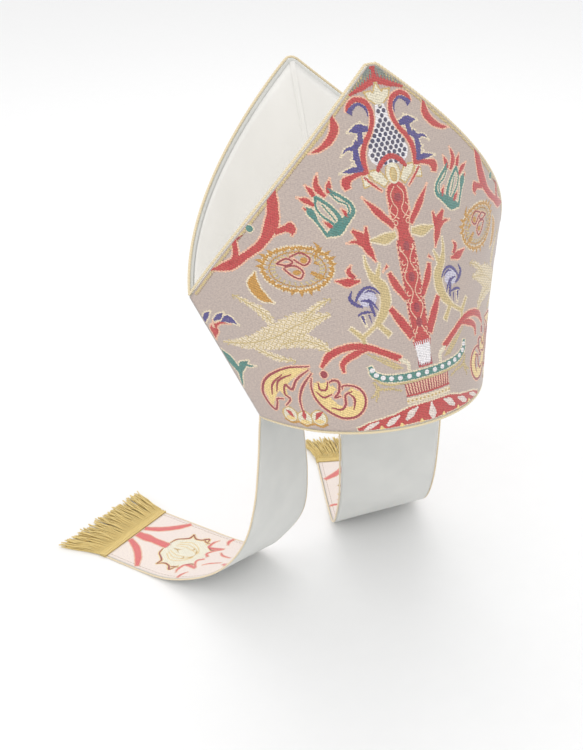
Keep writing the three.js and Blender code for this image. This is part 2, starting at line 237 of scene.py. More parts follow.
class Finish:
    """A material with one Principled shader. Keywords set its sockets."""

    def __init__(self, name, **sockets):
        self.material = bpy.data.materials.new(name)
        self.material.use_nodes = True
        self.tree = self.material.node_tree
        self.tree.nodes.clear()
        self.shader = self.tree.nodes.new("ShaderNodeBsdfPrincipled")
        output = self.tree.nodes.new("ShaderNodeOutputMaterial")
        self.tree.links.new(self.shader.outputs[0], output.inputs[0])
        self.set(**sockets)

    def set(self, **sockets):
        for key, value in sockets.items():
            self.plug(self.shader.inputs[key.replace("_", " ")], value)
        return self

    def plug(self, socket, value):
        if isinstance(value, Wire):
            self.tree.links.new(value.socket, socket)
        else:
            socket.default_value = value

    def node(self, kind, settings=None, sockets=(), output=0):
        node = self.tree.nodes.new(kind)
        for key, value in (settings or {}).items():
            setattr(node, key, value)
        named = sockets.items() if isinstance(sockets, dict) else enumerate(sockets)
        for key, value in named:
            self.plug(node.inputs[key], value)
        return Wire(self, node.outputs[output])

    def cloth(self):
        """The place on the flat cloth, in millimetres: across, and up from the rim."""
        place = self.node("ShaderNodeAttribute", {"attribute_name": "cloth"}, output="Vector")
        across = self.node("ShaderNodeSeparateXYZ", {}, [place])
        return place, across, across.part("Y")

    def noise(self, place, size, detail=2):
        return self.node(
            "ShaderNodeTexNoise",
            {"noise_dimensions": "3D"},
            {"Vector": place, "Scale": 1 / size, "Detail": detail},
        )

    def mix(self, factor, a, b):
        return self.node("ShaderNodeMix", {"data_type": "RGBA"}, {0: factor, 6: a, 7: b}, output=2)

    def bump(self, height, distance, strength=1.0):
        """Relief of that many millimetres."""
        return self.node(
            "ShaderNodeBump", {}, {"Strength": strength, "Distance": distance / 1000, "Height": height}
        )


def twill(finish, period, weft):
    """Slanting ribs crossed by a finer weft, 0 to 1."""
    place, across, up = finish.cloth()
    ribs = (up + across * 0.4).wave(period)
    picks = (across - up * 0.15).wave(weft)
    return place, ribs * 0.65 + picks * 0.35


def brocade_ground(name, cool, warm, shaded):
    finish = Finish(name, Sheen_Weight=0.2, Sheen_Roughness=0.4)
    place, ribs = twill(finish, 1.7, 1.3)
    speckle = finish.noise(place, 1.5, 3)
    patches = finish.noise(place, 45)
    pale = finish.mix(patches, cool, warm)
    colour = finish.mix((speckle - 0.5) * 1.5 + 0.45 + ribs * 0.25, shaded, pale)
    return finish.set(
        Base_Color=colour,
        Roughness=0.42 + speckle * 0.25,
        Normal=finish.bump(ribs + speckle * 0.5, 0.12, 0.6),
    ).material


def lining_cloth_painted_shade():
    finish = Finish("white_lining", Roughness=0.6, Sheen_Weight=0.2)
    place, ribs = twill(finish, 0.5, 0.5)
    soft = finish.noise(place, 30)
    # Painted shade: the white lining is coloured a mid grey to stand for the shadow that falls on it inside the crown.
    # The noise varies that grey at random.
    colour = finish.mix(soft, dye(206, 207, 204), dye(222, 222, 218))
    return finish.set(Base_Color=colour, Normal=finish.bump(ribs, 0.05, 0.4)).material


BROCADE = brocade_ground("brocade_ground", dye(190, 177, 169), dye(206, 188, 173), dye(158, 144, 141))
# The lining's grey is painted shade on white cloth.
LINING_PAINTED_SHADE = lining_cloth_painted_shade()
PANEL_COLUMNS = 130
SEAM_ROWS = 44
EDGE_ROWS = 74
PEAK_ROWS = 10
LAST_PEAK_ANGLE = math.radians(1.5)
MITRE_FADE = 40


def edge_heights(panel, start, rows):
    """Heights up the free edge from start, then round the peak."""
    centre, half_angle, arc_start = peak_arc(panel)
    angles = np.linspace(math.pi / 2 - half_angle, LAST_PEAK_ANGLE, PEAK_ROWS + 1)[1:]
    round_peak = centre + PEAK_RADIUS * np.cos(angles)
    return np.concatenate([np.linspace(start, arc_start, rows + 1), round_peak])


def make_panel(panel):
    corner = panel["corner_height"]
    heights = np.concatenate(
        [np.linspace(HEM, corner, SEAM_ROWS + 1)[:-1], edge_heights(panel, corner, EDGE_ROWS)]
    )
    across = np.linspace(-1, 1, PANEL_COLUMNS + 1) * -panel["facing"]
    distance = half_width(panel, heights)[:, None] * across[None, :]
    height = np.repeat(heights[:, None], PANEL_COLUMNS + 1, 1)
    outer = panel_point(panel, distance, height)
    normal = panel_normal(panel, distance, height)
    inner = outer - WALL * normal
    square = np.clip((heights - corner) / MITRE_FADE, 0, 1)[:, None]
    for i in (0, PANEL_COLUMNS):
        mitred = outer[:, i].copy()
        mitred[:, 0] -= WALL / normal[:, i, 0]
        inner[:, i] = mitred * (1 - square) + inner[:, i] * square
    rows = len(heights) - 1
    cloth = np.stack([distance, height, np.zeros_like(height)], -1).reshape(-1, 3)
    points = np.concatenate([outer.reshape(-1, 3), inner.reshape(-1, 3)])
    count = len(cloth)
    front = grid_faces(rows, PANEL_COLUMNS)
    back = grid_faces(rows, PANEL_COLUMNS, count, flip=True)
    rim = rim_faces(rows, PANEL_COLUMNS, count)
    slots = [0] * len(front) + [1] * len(back) + [1] * len(rim)
    piece = make_piece(
        panel["name"] + "_cloth",
        on_crown(points),
        np.concatenate([front, back, rim]),
        np.concatenate([cloth, cloth + (0, 0, 50)]),
        [BROCADE, LINING_PAINTED_SHADE],
        slots,
    )
    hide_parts(panel["name"])
    return piece


front_cloth = make_panel(FRONT)
back_cloth = make_panel(BACK)

# ---- woven figures --------------------------------------------------------------------------
# The brocade's figures are floats of coloured silk and metal thread that stand a little proud of
# the ground. They are drawn flat, in millimetres from the centre line and up from the rim, once
# for the half and mirrored, and both panels are cut from the same figure.
EDGING_RISE = 0.1
FIGURE_RISE = 0.2
DETAIL_RISE = 0.3
TOP_RISE = 0.4
EDGING = 1.1
DRAW_STEP = 1.3
RAGGED = (0.45, -0.4, 0.15, -0.5, 0.4, -0.1, 0.3, -0.35)
SUNK = -0.06
FIGURE_MARGIN = 1.2


class Figures:
    """Shapes in each colour of thread, laid out flat."""

    def __init__(self):
        self.points = {}
        self.faces = {}

    def add(self, colour, grid):
        rows, columns = grid.shape[0] - 1, grid.shape[1] - 1
        points = self.points.setdefault(colour, [])
        start = sum(len(p) for p in points)
        points.append(grid.reshape(-1, 3))
        self.faces.setdefault(colour, []).append(grid_faces(rows, columns, start))

    def blade(self, colour, line, widths, rise=FIGURE_RISE, edging=None, both=True, ragged=1.0):
        """A stroke along a smooth line whose width follows the widths at its points."""
        if edging:
            wider = [w + 2 * EDGING for w in widths]
            self.blade(edging, longer(line, EDGING), wider, EDGING_RISE, both=both, ragged=ragged)
        places, width = smooth_run(line, widths)
        count = len(places)
        wobble = np.resize(RAGGED, count) * ragged
        wobble_back = np.resize(RAGGED[::-1], count) * ragged
        thin = np.clip(width / 1.5, 0, 1)
        ahead = unit(np.gradient(places, axis=0))
        aside = np.stack([ahead[:, 1], -ahead[:, 0]], -1)
        inner = max(3, int(math.ceil(width.max() / 4)) + 1)
        fractions = np.concatenate([[-1], np.linspace(-0.8, 0.8, inner), [1]])
        grid = np.zeros((count, len(fractions), 3))
        for i, f in enumerate(fractions):
            rag = (wobble if f < 0 else wobble_back) * abs(f) * thin
            half = f * width / 2 + math.copysign(1, f) * rag if f else 0 * width
            grid[:, i, :2] = places + aside * half[:, None]
            grid[:, i, 2] = SUNK if abs(f) == 1 else rise * thin + 0.02
        self.add(colour, grid)
        if both:
            mirrored = grid[:, ::-1] * (-1, 1, 1)
            self.add(colour, mirrored)

    def spot(self, colour, centre, wide, high=None, rise=FIGURE_RISE, edging=None, both=True):
        """An oval."""
        high = high or wide
        turns = np.linspace(-1, 1, 7) * math.pi / 2
        line = [(centre[0], centre[1] + high / 2 * math.sin(a)) for a in turns]
        widths = [wide * max(math.cos(a), 0.05) for a in turns]
        self.blade(colour, line, widths, rise, edging, both, ragged=0.5)


def longer(line, by):
    """The line, drawn out at both ends."""
    line = np.asarray(line, float)
    start = line[0] - unit(line[1] - line[0]) * by
    end = line[-1] + unit(line[-1] - line[-2]) * by
    return np.concatenate([[start], line[1:-1], [end]]) if len(line) > 2 else np.stack([start, end])


def smooth_run(line, widths, step=DRAW_STEP):
    """A smooth curve through the points, with the widths eased along it."""
    line = np.asarray(line, float)
    widths = np.asarray(widths, float)
    if len(widths) != len(line):
        widths = np.interp(np.linspace(0, 1, len(line)), np.linspace(0, 1, len(widths)), widths)
    padded = np.concatenate([[2 * line[0] - line[1]], line, [2 * line[-1] - line[-2]]])
    samples, sizes = [], []
    for k in range(len(line) - 1):
        a, b, c, d = padded[k : k + 4]
        count = max(2, int(math.ceil(np.linalg.norm(c - b) / step)))
        t = (np.arange(count) / count)[:, None]
        samples.append(
            0.5 * (2 * b + (c - a) * t + (2 * a - 5 * b + 4 * c - d) * t**2 + (3 * b - a - 3 * c + d) * t**3)
        )
        ease = t[:, 0] * t[:, 0] * (3 - 2 * t[:, 0])
        sizes.append(widths[k] * (1 - ease) + widths[k + 1] * ease)
    samples.append(line[-1:])
    sizes.append(widths[-1:])
    return np.concatenate(samples), np.concatenate(sizes)


figures = Figures()
blade = figures.blade
spot = figures.spot

# The crest under the peak: red flames and grey-green hatching that point down to a cream bud.
blade("grey_green", [(1, 288), (12, 279), (25, 270)], [8, 11, 5], EDGING_RISE)
blade("red", [(0, 289.5), (0, 284), (0, 276)], [5, 8, 11], both=False)
blade("red", [(3, 277), (12, 273.5), (26, 269)], [6, 5, 2])
for k in range(9):
    at = 2.7 * k + 2
    blade("red", [(at - 1, 283 - 1.45 * k), (at + 1.5, 269 - 0.45 * k)], [1.2, 2.6, 0], DETAIL_RISE)
    blade("grey_green", [(at + 0.4, 286 - 1.55 * k), (at + 1, 277 - 0.95 * k)], [1.5, 0.6], TOP_RISE)
    blade("gold", [(at + 1.2, 284 - 1.5 * k), (at + 2, 274 - 0.8 * k)], [0.6, 0.6], TOP_RISE)
for k in range(4):
    blade("crimson", [(1.2 * k, 288 - 2 * k), (1.2 * k + 0.3, 277)], [1.0, 0.5], DETAIL_RISE)
blade("cream", [(0, 257), (0, 265), (0, 276)], [3, 10, 0], DETAIL_RISE, "gold", False)
blade("cream", [(2, 260), (7, 266), (12, 269)], [3, 7, 0], FIGURE_RISE, "gold")

# The pomegranate: white silk checked with navy, a red rind and serrated blue leaves.
BULB = ((212, 13), (217, 18.5), (222, 20), (230, 17), (240, 10.5), (250, 6), (259, 4.5))
blade("white", [(0, v) for v, _ in BULB], [2 * half for _, half in BULB], both=False, ragged=0.5)
CHECK_ACROSS, CHECK_UP = 5.2, 3.6
for row in range(13):
    level = 214 + CHECK_UP * row
    room = np.interp(level, [v for v, _ in BULB], [half for _, half in BULB]) - 1.5
    for k in range(-4, 5):
        at = CHECK_ACROSS * (k + 0.5 * (row % 2))
        if abs(at) < room:
            spot("navy", (at, level), 4.3, 3.7, DETAIL_RISE, both=False)
RIND = [(31, 257), (28, 262), (21, 265), (13, 262), (9.5, 255), (10, 247), (14, 239), (21, 230), (24.5, 220), (24, 208)]
blade("red", RIND, [2, 4, 4.5, 5, 4.5, 4.5, 4.5, 5, 5.5, 5], edging="salmon")
blade("indigo", [(29, 255), (26, 259), (20, 261.5), (14, 258), (12.5, 251)], [6, 4, 2.5, 2.5, 1], DETAIL_RISE)
for line, widths in (
    ([(15, 242), (24, 243), (34, 241.5)], [5, 8, 0]),
    ([(20, 240), (21, 248)], [7, 0]),
    ([(23, 241), (24, 231)], [5, 6]),
    ([(26, 233), (31, 229), (37, 229), (43, 224)], [7, 4.5, 2.5, 0]),
    ([(27, 229), (30, 234)], [5, 0]),
    ([(28, 233), (30, 222), (27, 211)], [4, 6, 5]),
    ([(26, 212), (36, 212.5), (47, 211.5)], [6, 4.5, 0]),
    ([(34, 212), (35, 217)], [3, 0]),
    ([(30, 222), (35, 220.5)], [4, 0]),
):
    blade("indigo", line, widths, edging="beige")

# The blossom under it: cream petals in a red arc, with a red curl each side.
blade("red", [(14, 208), (10, 213.5), (4, 217.5), (0, 218.5)], [3, 5, 5, 5], TOP_RISE)
for k in range(5):
    blade("red", [(3 * k, 218 - 0.6 * k * k), (3.4 * k, 222.5 - 0.6 * k * k)], [2.2, 0], TOP_RISE)
blade("cream", [(24, 199), (26, 207)], [8, 5], FIGURE_RISE, "gold")
blade("cream", [(8, 198), (15, 205), (21, 208)], [6, 9, 3], DETAIL_RISE, "gold")
spot("cream", (0, 205), 14, 17, TOP_RISE, "gold", False)
spot("gold", (0, 204), 9, 12, TOP_RISE + 0.05, both=False)
spot("pale_gold", (0, 204), 6, 9, TOP_RISE + 0.1, both=False)
blade("red", [(24, 209), (30, 209), (37, 207.5), (43, 204), (42, 199)], [4, 3.5, 4.5, 9, 6], edging="salmon")
blade("red", [(27, 206), (20, 199), (13, 193)], [3, 2, 1], edging="salmon")

# The stem: a red shaft with cream tracery that swells to a capsule at its head.
CAPSULE = ((160, 12), (166, 16), (174, 21), (190, 21), (195, 17), (198, 7))
blade("red", [(0, v) for v, _ in CAPSULE], [w for _, w in CAPSULE], edging="salmon", both=False)
blade("red", [(0, 70), (0, 105), (0, 149), (0, 152), (0, 161)], [17, 18, 18, 14, 11], edging="salmon", both=False)
blade("salmon", [(1.5, 195), (6, 189), (5, 182), (2, 177), (4, 172), (9, 169)], [1.1], DETAIL_RISE, ragged=0.3)
blade("salmon", [(8, 166), (5.5, 164.5), (4, 166.5), (5.5, 168.5), (8, 168)], [1.2], DETAIL_RISE, ragged=0.3)
blade("salmon", [(2, 169), (9, 176), (6.5, 181)], [1.1], DETAIL_RISE, ragged=0.3)
spot("crimson", (0, 186), 8, 7, DETAIL_RISE, both=False)
TRACERY_PERIOD = 25
swell = [(1.2 + 2.6 * (1 - math.cos(2 * math.pi * (v - 110) / TRACERY_PERIOD)), v) for v in range(73, 150, 3)]
blade("salmon", swell, [1.2], DETAIL_RISE, ragged=0.3)
for level in (85, 98, 122, 147):
    spot("crimson", (0, level - (level == 98) * 1), 7, 8, DETAIL_RISE - 0.03, both=False)
for level in (79, 104, 110, 129, 135, 146):
    blade("salmon", [(3, level - 2), (6, level - 2.5), (7, level), (5.2, level + 1.2)], [1.1], DETAIL_RISE, ragged=0.3)
for k in range(20):
    blade("crimson", [(8.8, 73 + 4 * k), (6.8, 74 + 4 * k)], [1.4, 0.8], DETAIL_RISE)
for line, widths in (
    ([(8, 164), (20, 177), (32, 191)], [5, 6.5, 0.5]),
    ([(8, 106), (16, 119), (20, 129)], [5, 7, 4]),
    ([(8, 75), (16, 88), (24, 101)], [8, 8, 5]),
):
    blade("red", line, widths, edging="salmon")
blade("white", [(0, 49), (0, 60), (0, 70)], [12, 14, 18], both=False)
for k in range(5):
    blade("red", [(0.3 + 2 * k, 70), (0.2 + 1.8 * k, 63 + 0.4 * k)], [1.5, 0.4], DETAIL_RISE)
    blade("crimson", [(0.3 + 1.5 * k, 49.5), (0.3 + 1.6 * k, 57)], [1.1, 0.3], DETAIL_RISE)
blade("red", [(0, 49.2), (7, 49.2)], [1.6])
blade("pale_gold", [(8, 158), (18, 156), (31, 157)], [5, 9, 2], edging="beige")
blade("red", [(20.5, 135), (25, 131)], [2, 4.5, 0], edging="salmon")

# The tulip: open teal petals with red drops inside and red flames above.
for line, widths in (
    ([(47, 177), (57, 169.5), (67, 165.5)], [7, 11, 3]),
    ([(66, 166), (71, 175), (76, 185), (79, 189)], [3, 2.5, 7, 1]),
    ([(47, 176), (41.5, 181), (42, 187), (48, 193), (55, 198), (59, 202)], [5, 4, 3, 3, 3, 2]),
    ([(52, 174), (56, 183), (63, 191), (70, 196)], [5, 3.5, 3, 3.5]),
    ([(70, 197), (71, 188), (67, 181), (59, 174)], [3, 1.8, 1.8, 2.5]),
    ([(58, 198), (52, 191), (46, 188), (44.8, 182), (48, 177.5)], [1.6]),
    ([(66, 190), (62, 184), (57, 176)], [1.4]),
):
    blade("teal", line, widths, edging="beige")
for line, widths in (
    ([(47, 177.5), (48, 181), (51, 185)], [2, 3.5, 0.5]),
    ([(60, 171), (63, 173.5), (67, 177)], [2.5, 4, 0.5]),
    ([(72, 190), (78, 194), (85, 197)], [3, 5, 0]),
    ([(71, 197), (73, 201), (76.5, 206)], [4, 4.5, 0.5]),
    ([(62, 196), (67, 202), (67.5, 208), (65, 214)], [3, 6, 4, 0]),
    ([(58, 198), (58, 203), (55.5, 209)], [5, 5, 0]),
    ([(79, 187), (81, 189)], [2, 1]),
):
    blade("red", line, widths, edging="salmon")

# The thistle and the trefoil: small red buds beside the stem.
blade("red", [(29.5, 140), (34, 150), (38, 159), (45, 167)], [1, 7, 10, 3], edging="salmon")
blade("red", [(35, 157), (33, 168)], [7, 2], edging="salmon")
blade("red", [(38, 155), (45, 158), (51.5, 157.5)], [4, 2.5, 0], edging="salmon")
blade("red", [(46, 127), (56, 127), (66, 129.5)], [2, 7.5, 1], edging="salmon")
blade("red", [(50, 130), (54, 135), (51, 140)], [4, 4.5, 0.5], edging="salmon")
blade("crimson", [(52, 134), (49, 129)], [1, 1], DETAIL_RISE)

# The bird: a pale gold body with a raised blue wing.
BIRD = [(39, 146), (38, 136), (34, 127), (28, 119), (27, 108), (31, 98), (38, 90)]
blade("pale_gold", BIRD, [1, 3, 7, 9.5, 9.5, 8, 5], edging="beige")
blade("pale_gold", [(27, 138), (30, 130), (33, 124)], [1, 4, 5], edging="beige")
blade("pale_gold", [(37, 91), (33, 86), (28, 80)], [4, 4, 5], edging="beige")
blade("pale_gold", [(60, 90), (52, 82), (50, 76)], [3, 4, 3], edging="beige")
blade("pale_gold", [(50, 82), (44, 86), (38, 90)], [3, 3, 3], edging="beige")
blade("lilac", [(49, 110), (42, 112), (36, 108)], [10, 16, 8], EDGING_RISE)
for line, widths in (
    ([(54, 120), (56.5, 114), (53, 109), (47, 106)], [1, 3, 3.5, 2]),
    ([(52, 111), (48, 117), (41, 121), (34, 118), (29, 111)], [2, 3, 2.5, 2, 1]),
    ([(44, 117), (39, 118), (34, 115)], [1, 2, 1]),
    ([(48, 111), (41, 110), (37, 106), (34, 101)], [1.5, 3, 2, 0.5]),
    ([(41, 112), (40, 106), (38, 97)], [1, 3, 2]),
    ([(52, 99.5), (46, 101.5), (39, 100.5)], [2, 2.5, 1]),
    ([(49, 99), (46.5, 90)], [3, 0.5]),
    ([(43, 99), (41.5, 92)], [1.5, 0.5]),
):
    blade("indigo", line, widths, edging="beige" if widths[0] > 2.5 else None)

# The dahlia: a mustard head of small petals with crimson ones in its heart.
DAHLIA = (94, 141)
for reach, width in ((1.0, 2.4), (0.8, 1.1)):
    turns = [2 * math.pi * k / 18 for k in range(19)]
    ring = [(DAHLIA[0] + 28 * reach * math.cos(a), DAHLIA[1] + 17.5 * reach * math.sin(a)) for a in turns]
    blade("mustard", ring, [width], edging="beige" if reach == 1 else None, ragged=2)
PETALS = 26
for k in range(PETALS):
    angle = 2 * math.pi * k / PETALS
    bloom = 1 + 0.12 * math.sin(3 * angle + 0.5)
    foot = (DAHLIA[0] + 25 * math.cos(angle), DAHLIA[1] + 15.5 * math.sin(angle))
    tip = (DAHLIA[0] + 31.5 * bloom * math.cos(angle + 0.12), DAHLIA[1] + 20.5 * bloom * math.sin(angle + 0.12))
    bend = ((foot[0] + tip[0]) / 2 - 1.2 * math.sin(angle), (foot[1] + tip[1]) / 2 + 1.2 * math.cos(angle))
    blade("mustard", [foot, bend, tip], [1.0, 3.2, 0.2])
    mark = (DAHLIA[0] + 17.5 * math.cos(angle + 0.1), DAHLIA[1] + 10.5 * math.sin(angle + 0.1))
    blade("pale_gold", [mark, foot], [1.6, 0.8])
blade("mustard", [(79, 149), (75, 157), (78, 162)], [2, 3, 0.5])
for line in (
    [(99, 151), (90, 154), (83, 149), (88, 144), (96, 149)],
    [(110, 146), (102, 150), (97, 147), (102, 144.5), (110, 146)],
    [(105, 142), (99, 136), (93, 133.5), (90, 139), (96, 144), (104, 143)],
):
    blade("crimson", line, [1.5], DETAIL_RISE, edging="salmon", ragged=0.4)
spot("mustard", (88, 148), 6, 5, DETAIL_RISE)
spot("mustard", (95, 138.5), 7, 4, DETAIL_RISE)
blade("mustard", [(84, 138), (77, 134), (73, 132)], [3, 4.5, 0.5])
blade("mustard", [(80, 146), (74, 142)], [3, 0.5])
blade("mustard", [(128, 139), (131, 128), (126, 119), (117, 113.5)], [1, 10.5, 9, 0.5], edging="beige")

# The side scroll: a broad red stem that runs down the free edge to the corner.
blade(
    "red",
    [(104, 206), (105, 190), (108, 178), (118, 163), (132, 152.5), (147, 143), (163, 137)],
    [9, 10, 12, 7, 6, 8.5, 2],
    edging="salmon",
)
blade("red", [(107, 171), (99, 173.5), (94, 174)], [5, 5, 10], edging="salmon")
blade("red", [(94, 178), (92, 173), (94, 168)], [3, 5, 1], edging="salmon")
blade("red", [(145, 143), (140.5, 152), (140, 160), (139, 165)], [7, 5, 4.5, 3], edging="salmon")
blade("crimson", [(137.5, 164.5), (132, 169)], [2, 0.6])
spot("teal", (126, 174), 6.5, 5.5, edging="beige")
blade("red", [(45, 256), (44, 246), (50, 237.5), (60, 231.5), (69, 229.5)], [3, 8, 6.5, 3.5, 0], edging="salmon")
for k in range(7):
    blade("pale_gold", [(52 + 4 * k, 247 - 3.5 * k), (56 + 4 * k, 241 - 3.3 * k)], [2.2, 0.6])

# A spray of scaled leaves in pale metal thread fills the ground beside the vase.
SPRAYS = (
    ([(168, 72), (145, 76), (122, 84), (100, 96), (74, 103)], [2, 12, 22, 20, 4]),
    ([(122, 96), (128, 105), (140, 113), (150, 118)], [8, 9, 5, 1]),
    ([(96, 100), (84, 110), (72, 116)], [9, 6, 1]),
    ([(118, 78), (100, 82), (86, 78), (76, 70)], [8, 13, 9, 1]),
    ([(140, 72), (124, 66), (108, 64)], [4, 7, 2]),
)
for line, widths in SPRAYS:
    blade("beige", line, widths, EDGING_RISE, ragged=2)
    places, width = smooth_run(line, widths, 3.2)
    ahead = unit(np.gradient(places, axis=0))
    aside = np.stack([ahead[:, 1], -ahead[:, 0]], -1)
    for k in range(1, len(places) - 1):
        scales = max(1, int(width[k] // 4))
        for n in range(scales):
            off = (n - (scales - 1) / 2 + 0.25 * (-1) ** k) * 4
            middle = places[k] + aside[k] * off
            scallop = [middle + aside[k] * 1.8, middle + ahead[k] * 2.2, middle - aside[k] * 1.8]
            blade("pale_gold", scallop, [0.9], FIGURE_RISE, ragged=0.3)
    blade("pale_gold", line, [1.3], FIGURE_RISE, ragged=0.5)

# Beside the side seams: a blue and red bud, and a forked teal leaf.
blade("red", [(174, 73), (173, 82), (171, 88)], [0.5, 8, 3], edging="salmon")
blade("red", [(172, 85), (166, 90), (157, 91)], [3, 2, 0.5], edging="salmon")
blade("indigo", [(180, 88), (177, 94), (172, 99.5)], [3, 4.5, 0], edging="beige")
blade("indigo", [(171, 91), (166, 95.5), (160.5, 101)], [2, 5, 0], edging="beige")
blade("indigo", [(165, 91), (158, 95), (150, 91)], [1, 8, 0], edging="beige")
blade("indigo", [(158, 94), (156, 99)], [4, 0])
blade("salmon", [(173, 84), (172, 92)], [3, 1], DETAIL_RISE)
blade("teal", [(173, 64), (168, 57), (162, 49), (160, 43)], [1, 8.5, 6, 3], edging="beige")
blade("teal", [(160, 44), (156, 53), (149, 59)], [3, 6.5, 0.5], edging="beige")
blade("teal", [(155, 55), (150, 54), (143, 55)], [4, 2.5, 0], edging="beige")
blade("teal", [(160, 46), (161, 38), (162, 30)], [4, 2.5, 0.5], edging="beige")

# The scroll arms and the acanthus: red arms from the vase that end in gold leaves.
blade("red", [(88, 59), (80, 69), (66, 74.5), (52, 74), (38, 68), (22, 59)], [3, 6.5, 6, 6, 5.5, 6], edging="salmon")
blade("red", [(49, 71), (60, 68.5), (70, 62), (70.5, 54)], [2, 6, 5, 2.5], edging="salmon")
for k in range(4):
    blade("pale_gold", [(50 - 5 * k, 68 - 2 * k), (38 - 5 * k, 59 - 2.2 * k), (27 - 2 * k, 51)], [1.2], EDGING_RISE)
blade("cream", [(24, 59), (17, 55), (16, 49)], [3, 2, 1], edging="beige")
for line, widths in (
    ([(100, 58), (120, 51), (134, 38), (137, 20)], [2, 14, 15, 4]),
    ([(118, 50), (124, 40), (122, 31)], [8, 9, 4]),
    ([(94, 46), (92, 34), (80, 21), (66, 21), (61, 31), (68, 40)], [6, 12, 12, 10, 9, 5]),
    ([(88, 46), (86, 38), (80, 42)], [8, 8, 5]),
):
    blade("straw", line, widths, EDGING_RISE + 0.03)
ACANTHUS = (
    [(98, 60), (118, 57), (136, 46), (143, 32), (140, 21), (135, 16), (132, 22), (131, 27), (125, 28)],
    [(99, 57), (110, 48), (116, 38), (121, 42), (123, 33), (119, 29), (124, 22)],
    [(114, 52), (126, 45), (130, 34)],
    [(122, 51), (132, 41), (135, 30)],
    [(97, 54), (106, 42), (110.5, 30), (110, 18)],
    [(98, 50), (99, 40), (96, 30), (88, 21), (76, 15), (64, 17), (57, 26), (57.5, 36), (64, 42), (73, 43), (74, 40)],
    [(96, 38), (90, 33), (83, 36)],
    [(93, 46), (92, 40), (87, 40), (85, 47)],
    [(85, 24), (77, 22.5), (73, 27), (72, 35), (66, 38)],
    [(84, 46), (80, 48), (76, 46), (77, 38), (81, 33), (76, 34)],
    [(69, 36), (65, 31), (67, 22)],
)
for line in ACANTHUS:
    blade("crimson", line, [1.2, 2.3, 2.1, 1.8, 1.2], DETAIL_RISE, edging="salmon", ragged=0.6)
spot("crimson", (87, 53), 6.5, 6.5, edging="salmon")
for centre in ((122, 14), (109.5, 12), (97, 14)):
    spot("cream", centre, 14, 13, EDGING_RISE + 0.05, edging="gold")
    spot("straw", (centre[0], centre[1] - 3), 10, 4, FIGURE_RISE)
for line in ([(119, 12), (122, 15.5), (125, 18)], [(109.5, 20), (109.5, 15), (109.5, 11)], [(93, 20), (97, 17), (100, 12)]):
    blade("red", line, [1, 4.5, 1], DETAIL_RISE)
blade("mustard", [(128, 9), (122, 6.5), (115, 8), (109, 5.5), (102, 8), (96, 6), (90, 9)], [2], ragged=1)

# The vase: a teal bowl beaded with white, a comb foot, and a red gadrooned base.
BOWL = [(49, 57), (46.5, 50), (38, 45.5), (26, 43.8), (13, 43.3), (0, 43.3)]
blade("teal", BOWL, [4, 6, 6.5, 7, 7, 7], edging="beige")
for centre in ((0, 43.3), (8.4, 43.3), (16.8, 43.5), (25, 43.8), (32.6, 44.6), (39.5, 46.2), (44.8, 49.2), (47.6, 53.6)):
    spot("white", centre, 5.2, 4, DETAIL_RISE, both=centre[0] > 0)
blade("pale_gold", [(47, 46), (38, 40.5), (26, 39), (0, 38.6)], [1.8])
for line in ([(48, 44), (45, 36), (48, 27)], [(45, 37), (34, 36), (25, 33)], [(44, 40), (48, 33), (52, 31)]):
    blade("pale_gold", line, [2.4, 2, 1.4], ragged=2)
blade("salmon", [(0, 33), (22, 33)], [11, 9], EDGING_RISE)
for k in range(9):
    blade("crimson", [(0.1 + 2.7 * k, 37.8), (0.1 + 2.5 * k, 28)], [1.3, 1.5], FIGURE_RISE)
blade("red", [(0, 27.6), (22, 27.6)], [1.8, 1.6])
blade("beige", [(0, 23.2), (22, 23.2)], [5.5, 5.5], EDGING_RISE)
for k in range(6):
    spot("gold", (2 + 3.8 * k, 23.2), 2.4, 1.8)
blade("red", [(0, 11), (18, 11.4), (36, 8.8), (52, 7.2), (66, 4.6)], [17.5, 16, 11.5, 8, 3], edging="beige")
for line, widths in (
    ([(13, 17), (20, 12.5), (25, 8)], [2, 7, 3]),
    ([(30, 13), (37, 9), (42, 6)], [2, 6, 3]),
    ([(48, 10), (55, 6.8), (61, 4)], [2, 4.4, 2]),
):
    blade("petal_white", line, widths, DETAIL_RISE)
blade("petal_white", [(0, 4), (0, 9), (0, 18)], [4, 9, 2], DETAIL_RISE, both=False)
for at in (11, 29, 46):
    blade("straw", [(at, 3.4), (at + 1, 8)], [5, 0], DETAIL_RISE)

# Along each free edge a pale metal stripe lies under a row of machine stitches.
EDGE_STRIPE = 2.4
STITCH_IN = 4.4
STITCH = 2.6
STITCH_GAP = 1.0
EDGE_LEVELS = np.linspace(112, 282, 40)


def beside_edge(inset):
    return [(float(half_width(FRONT, v)) - inset, v) for v in EDGE_LEVELS]


blade("pale_gold", beside_edge(EDGE_STRIPE), [2.2], EDGING_RISE, ragged=1.5)
stitch_line, _ = smooth_run(beside_edge(STITCH_IN), [1])
lengths = np.concatenate([[0], np.cumsum(np.linalg.norm(np.diff(stitch_line, axis=0), axis=1))])
at = 0.0
while at + STITCH < lengths[-1]:
    ends = [[np.interp(s, lengths, stitch_line[:, k]) for k in (0, 1)] for s in (at, at + STITCH)]
    blade("thread_brown", ends, [0.5, 0.5], FIGURE_RISE, ragged=0)
    at += STITCH + STITCH_GAP

THREADS = {
    "red": dye(186, 42, 52),
    "crimson": dye(150, 30, 58),
    "salmon": dye(232, 184, 158),
    "indigo": dye(58, 54, 132),
    "navy": dye(48, 54, 92),
    "lilac": dye(196, 194, 214),
    "teal": dye(52, 126, 120),
    "grey_green": dye(120, 132, 128),
    "mustard": dye(196, 144, 62),
    "straw": dye(240, 206, 138),
    "gold": dye(206, 176, 116),
    "pale_gold": dye(206, 186, 136),
    "beige": dye(226, 211, 184),
    "cream": dye(226, 219, 196),
    "white": dye(232, 230, 238),
    "petal_white": dye(226, 213, 206),
    "thread_brown": dye(150, 122, 92),
}
METAL_THREADS = {"gold": 0.45, "pale_gold": 0.4, "mustard": 0.25}


FLECK = dye(206, 176, 140)  # the ground's own thread, where it shows between the floats


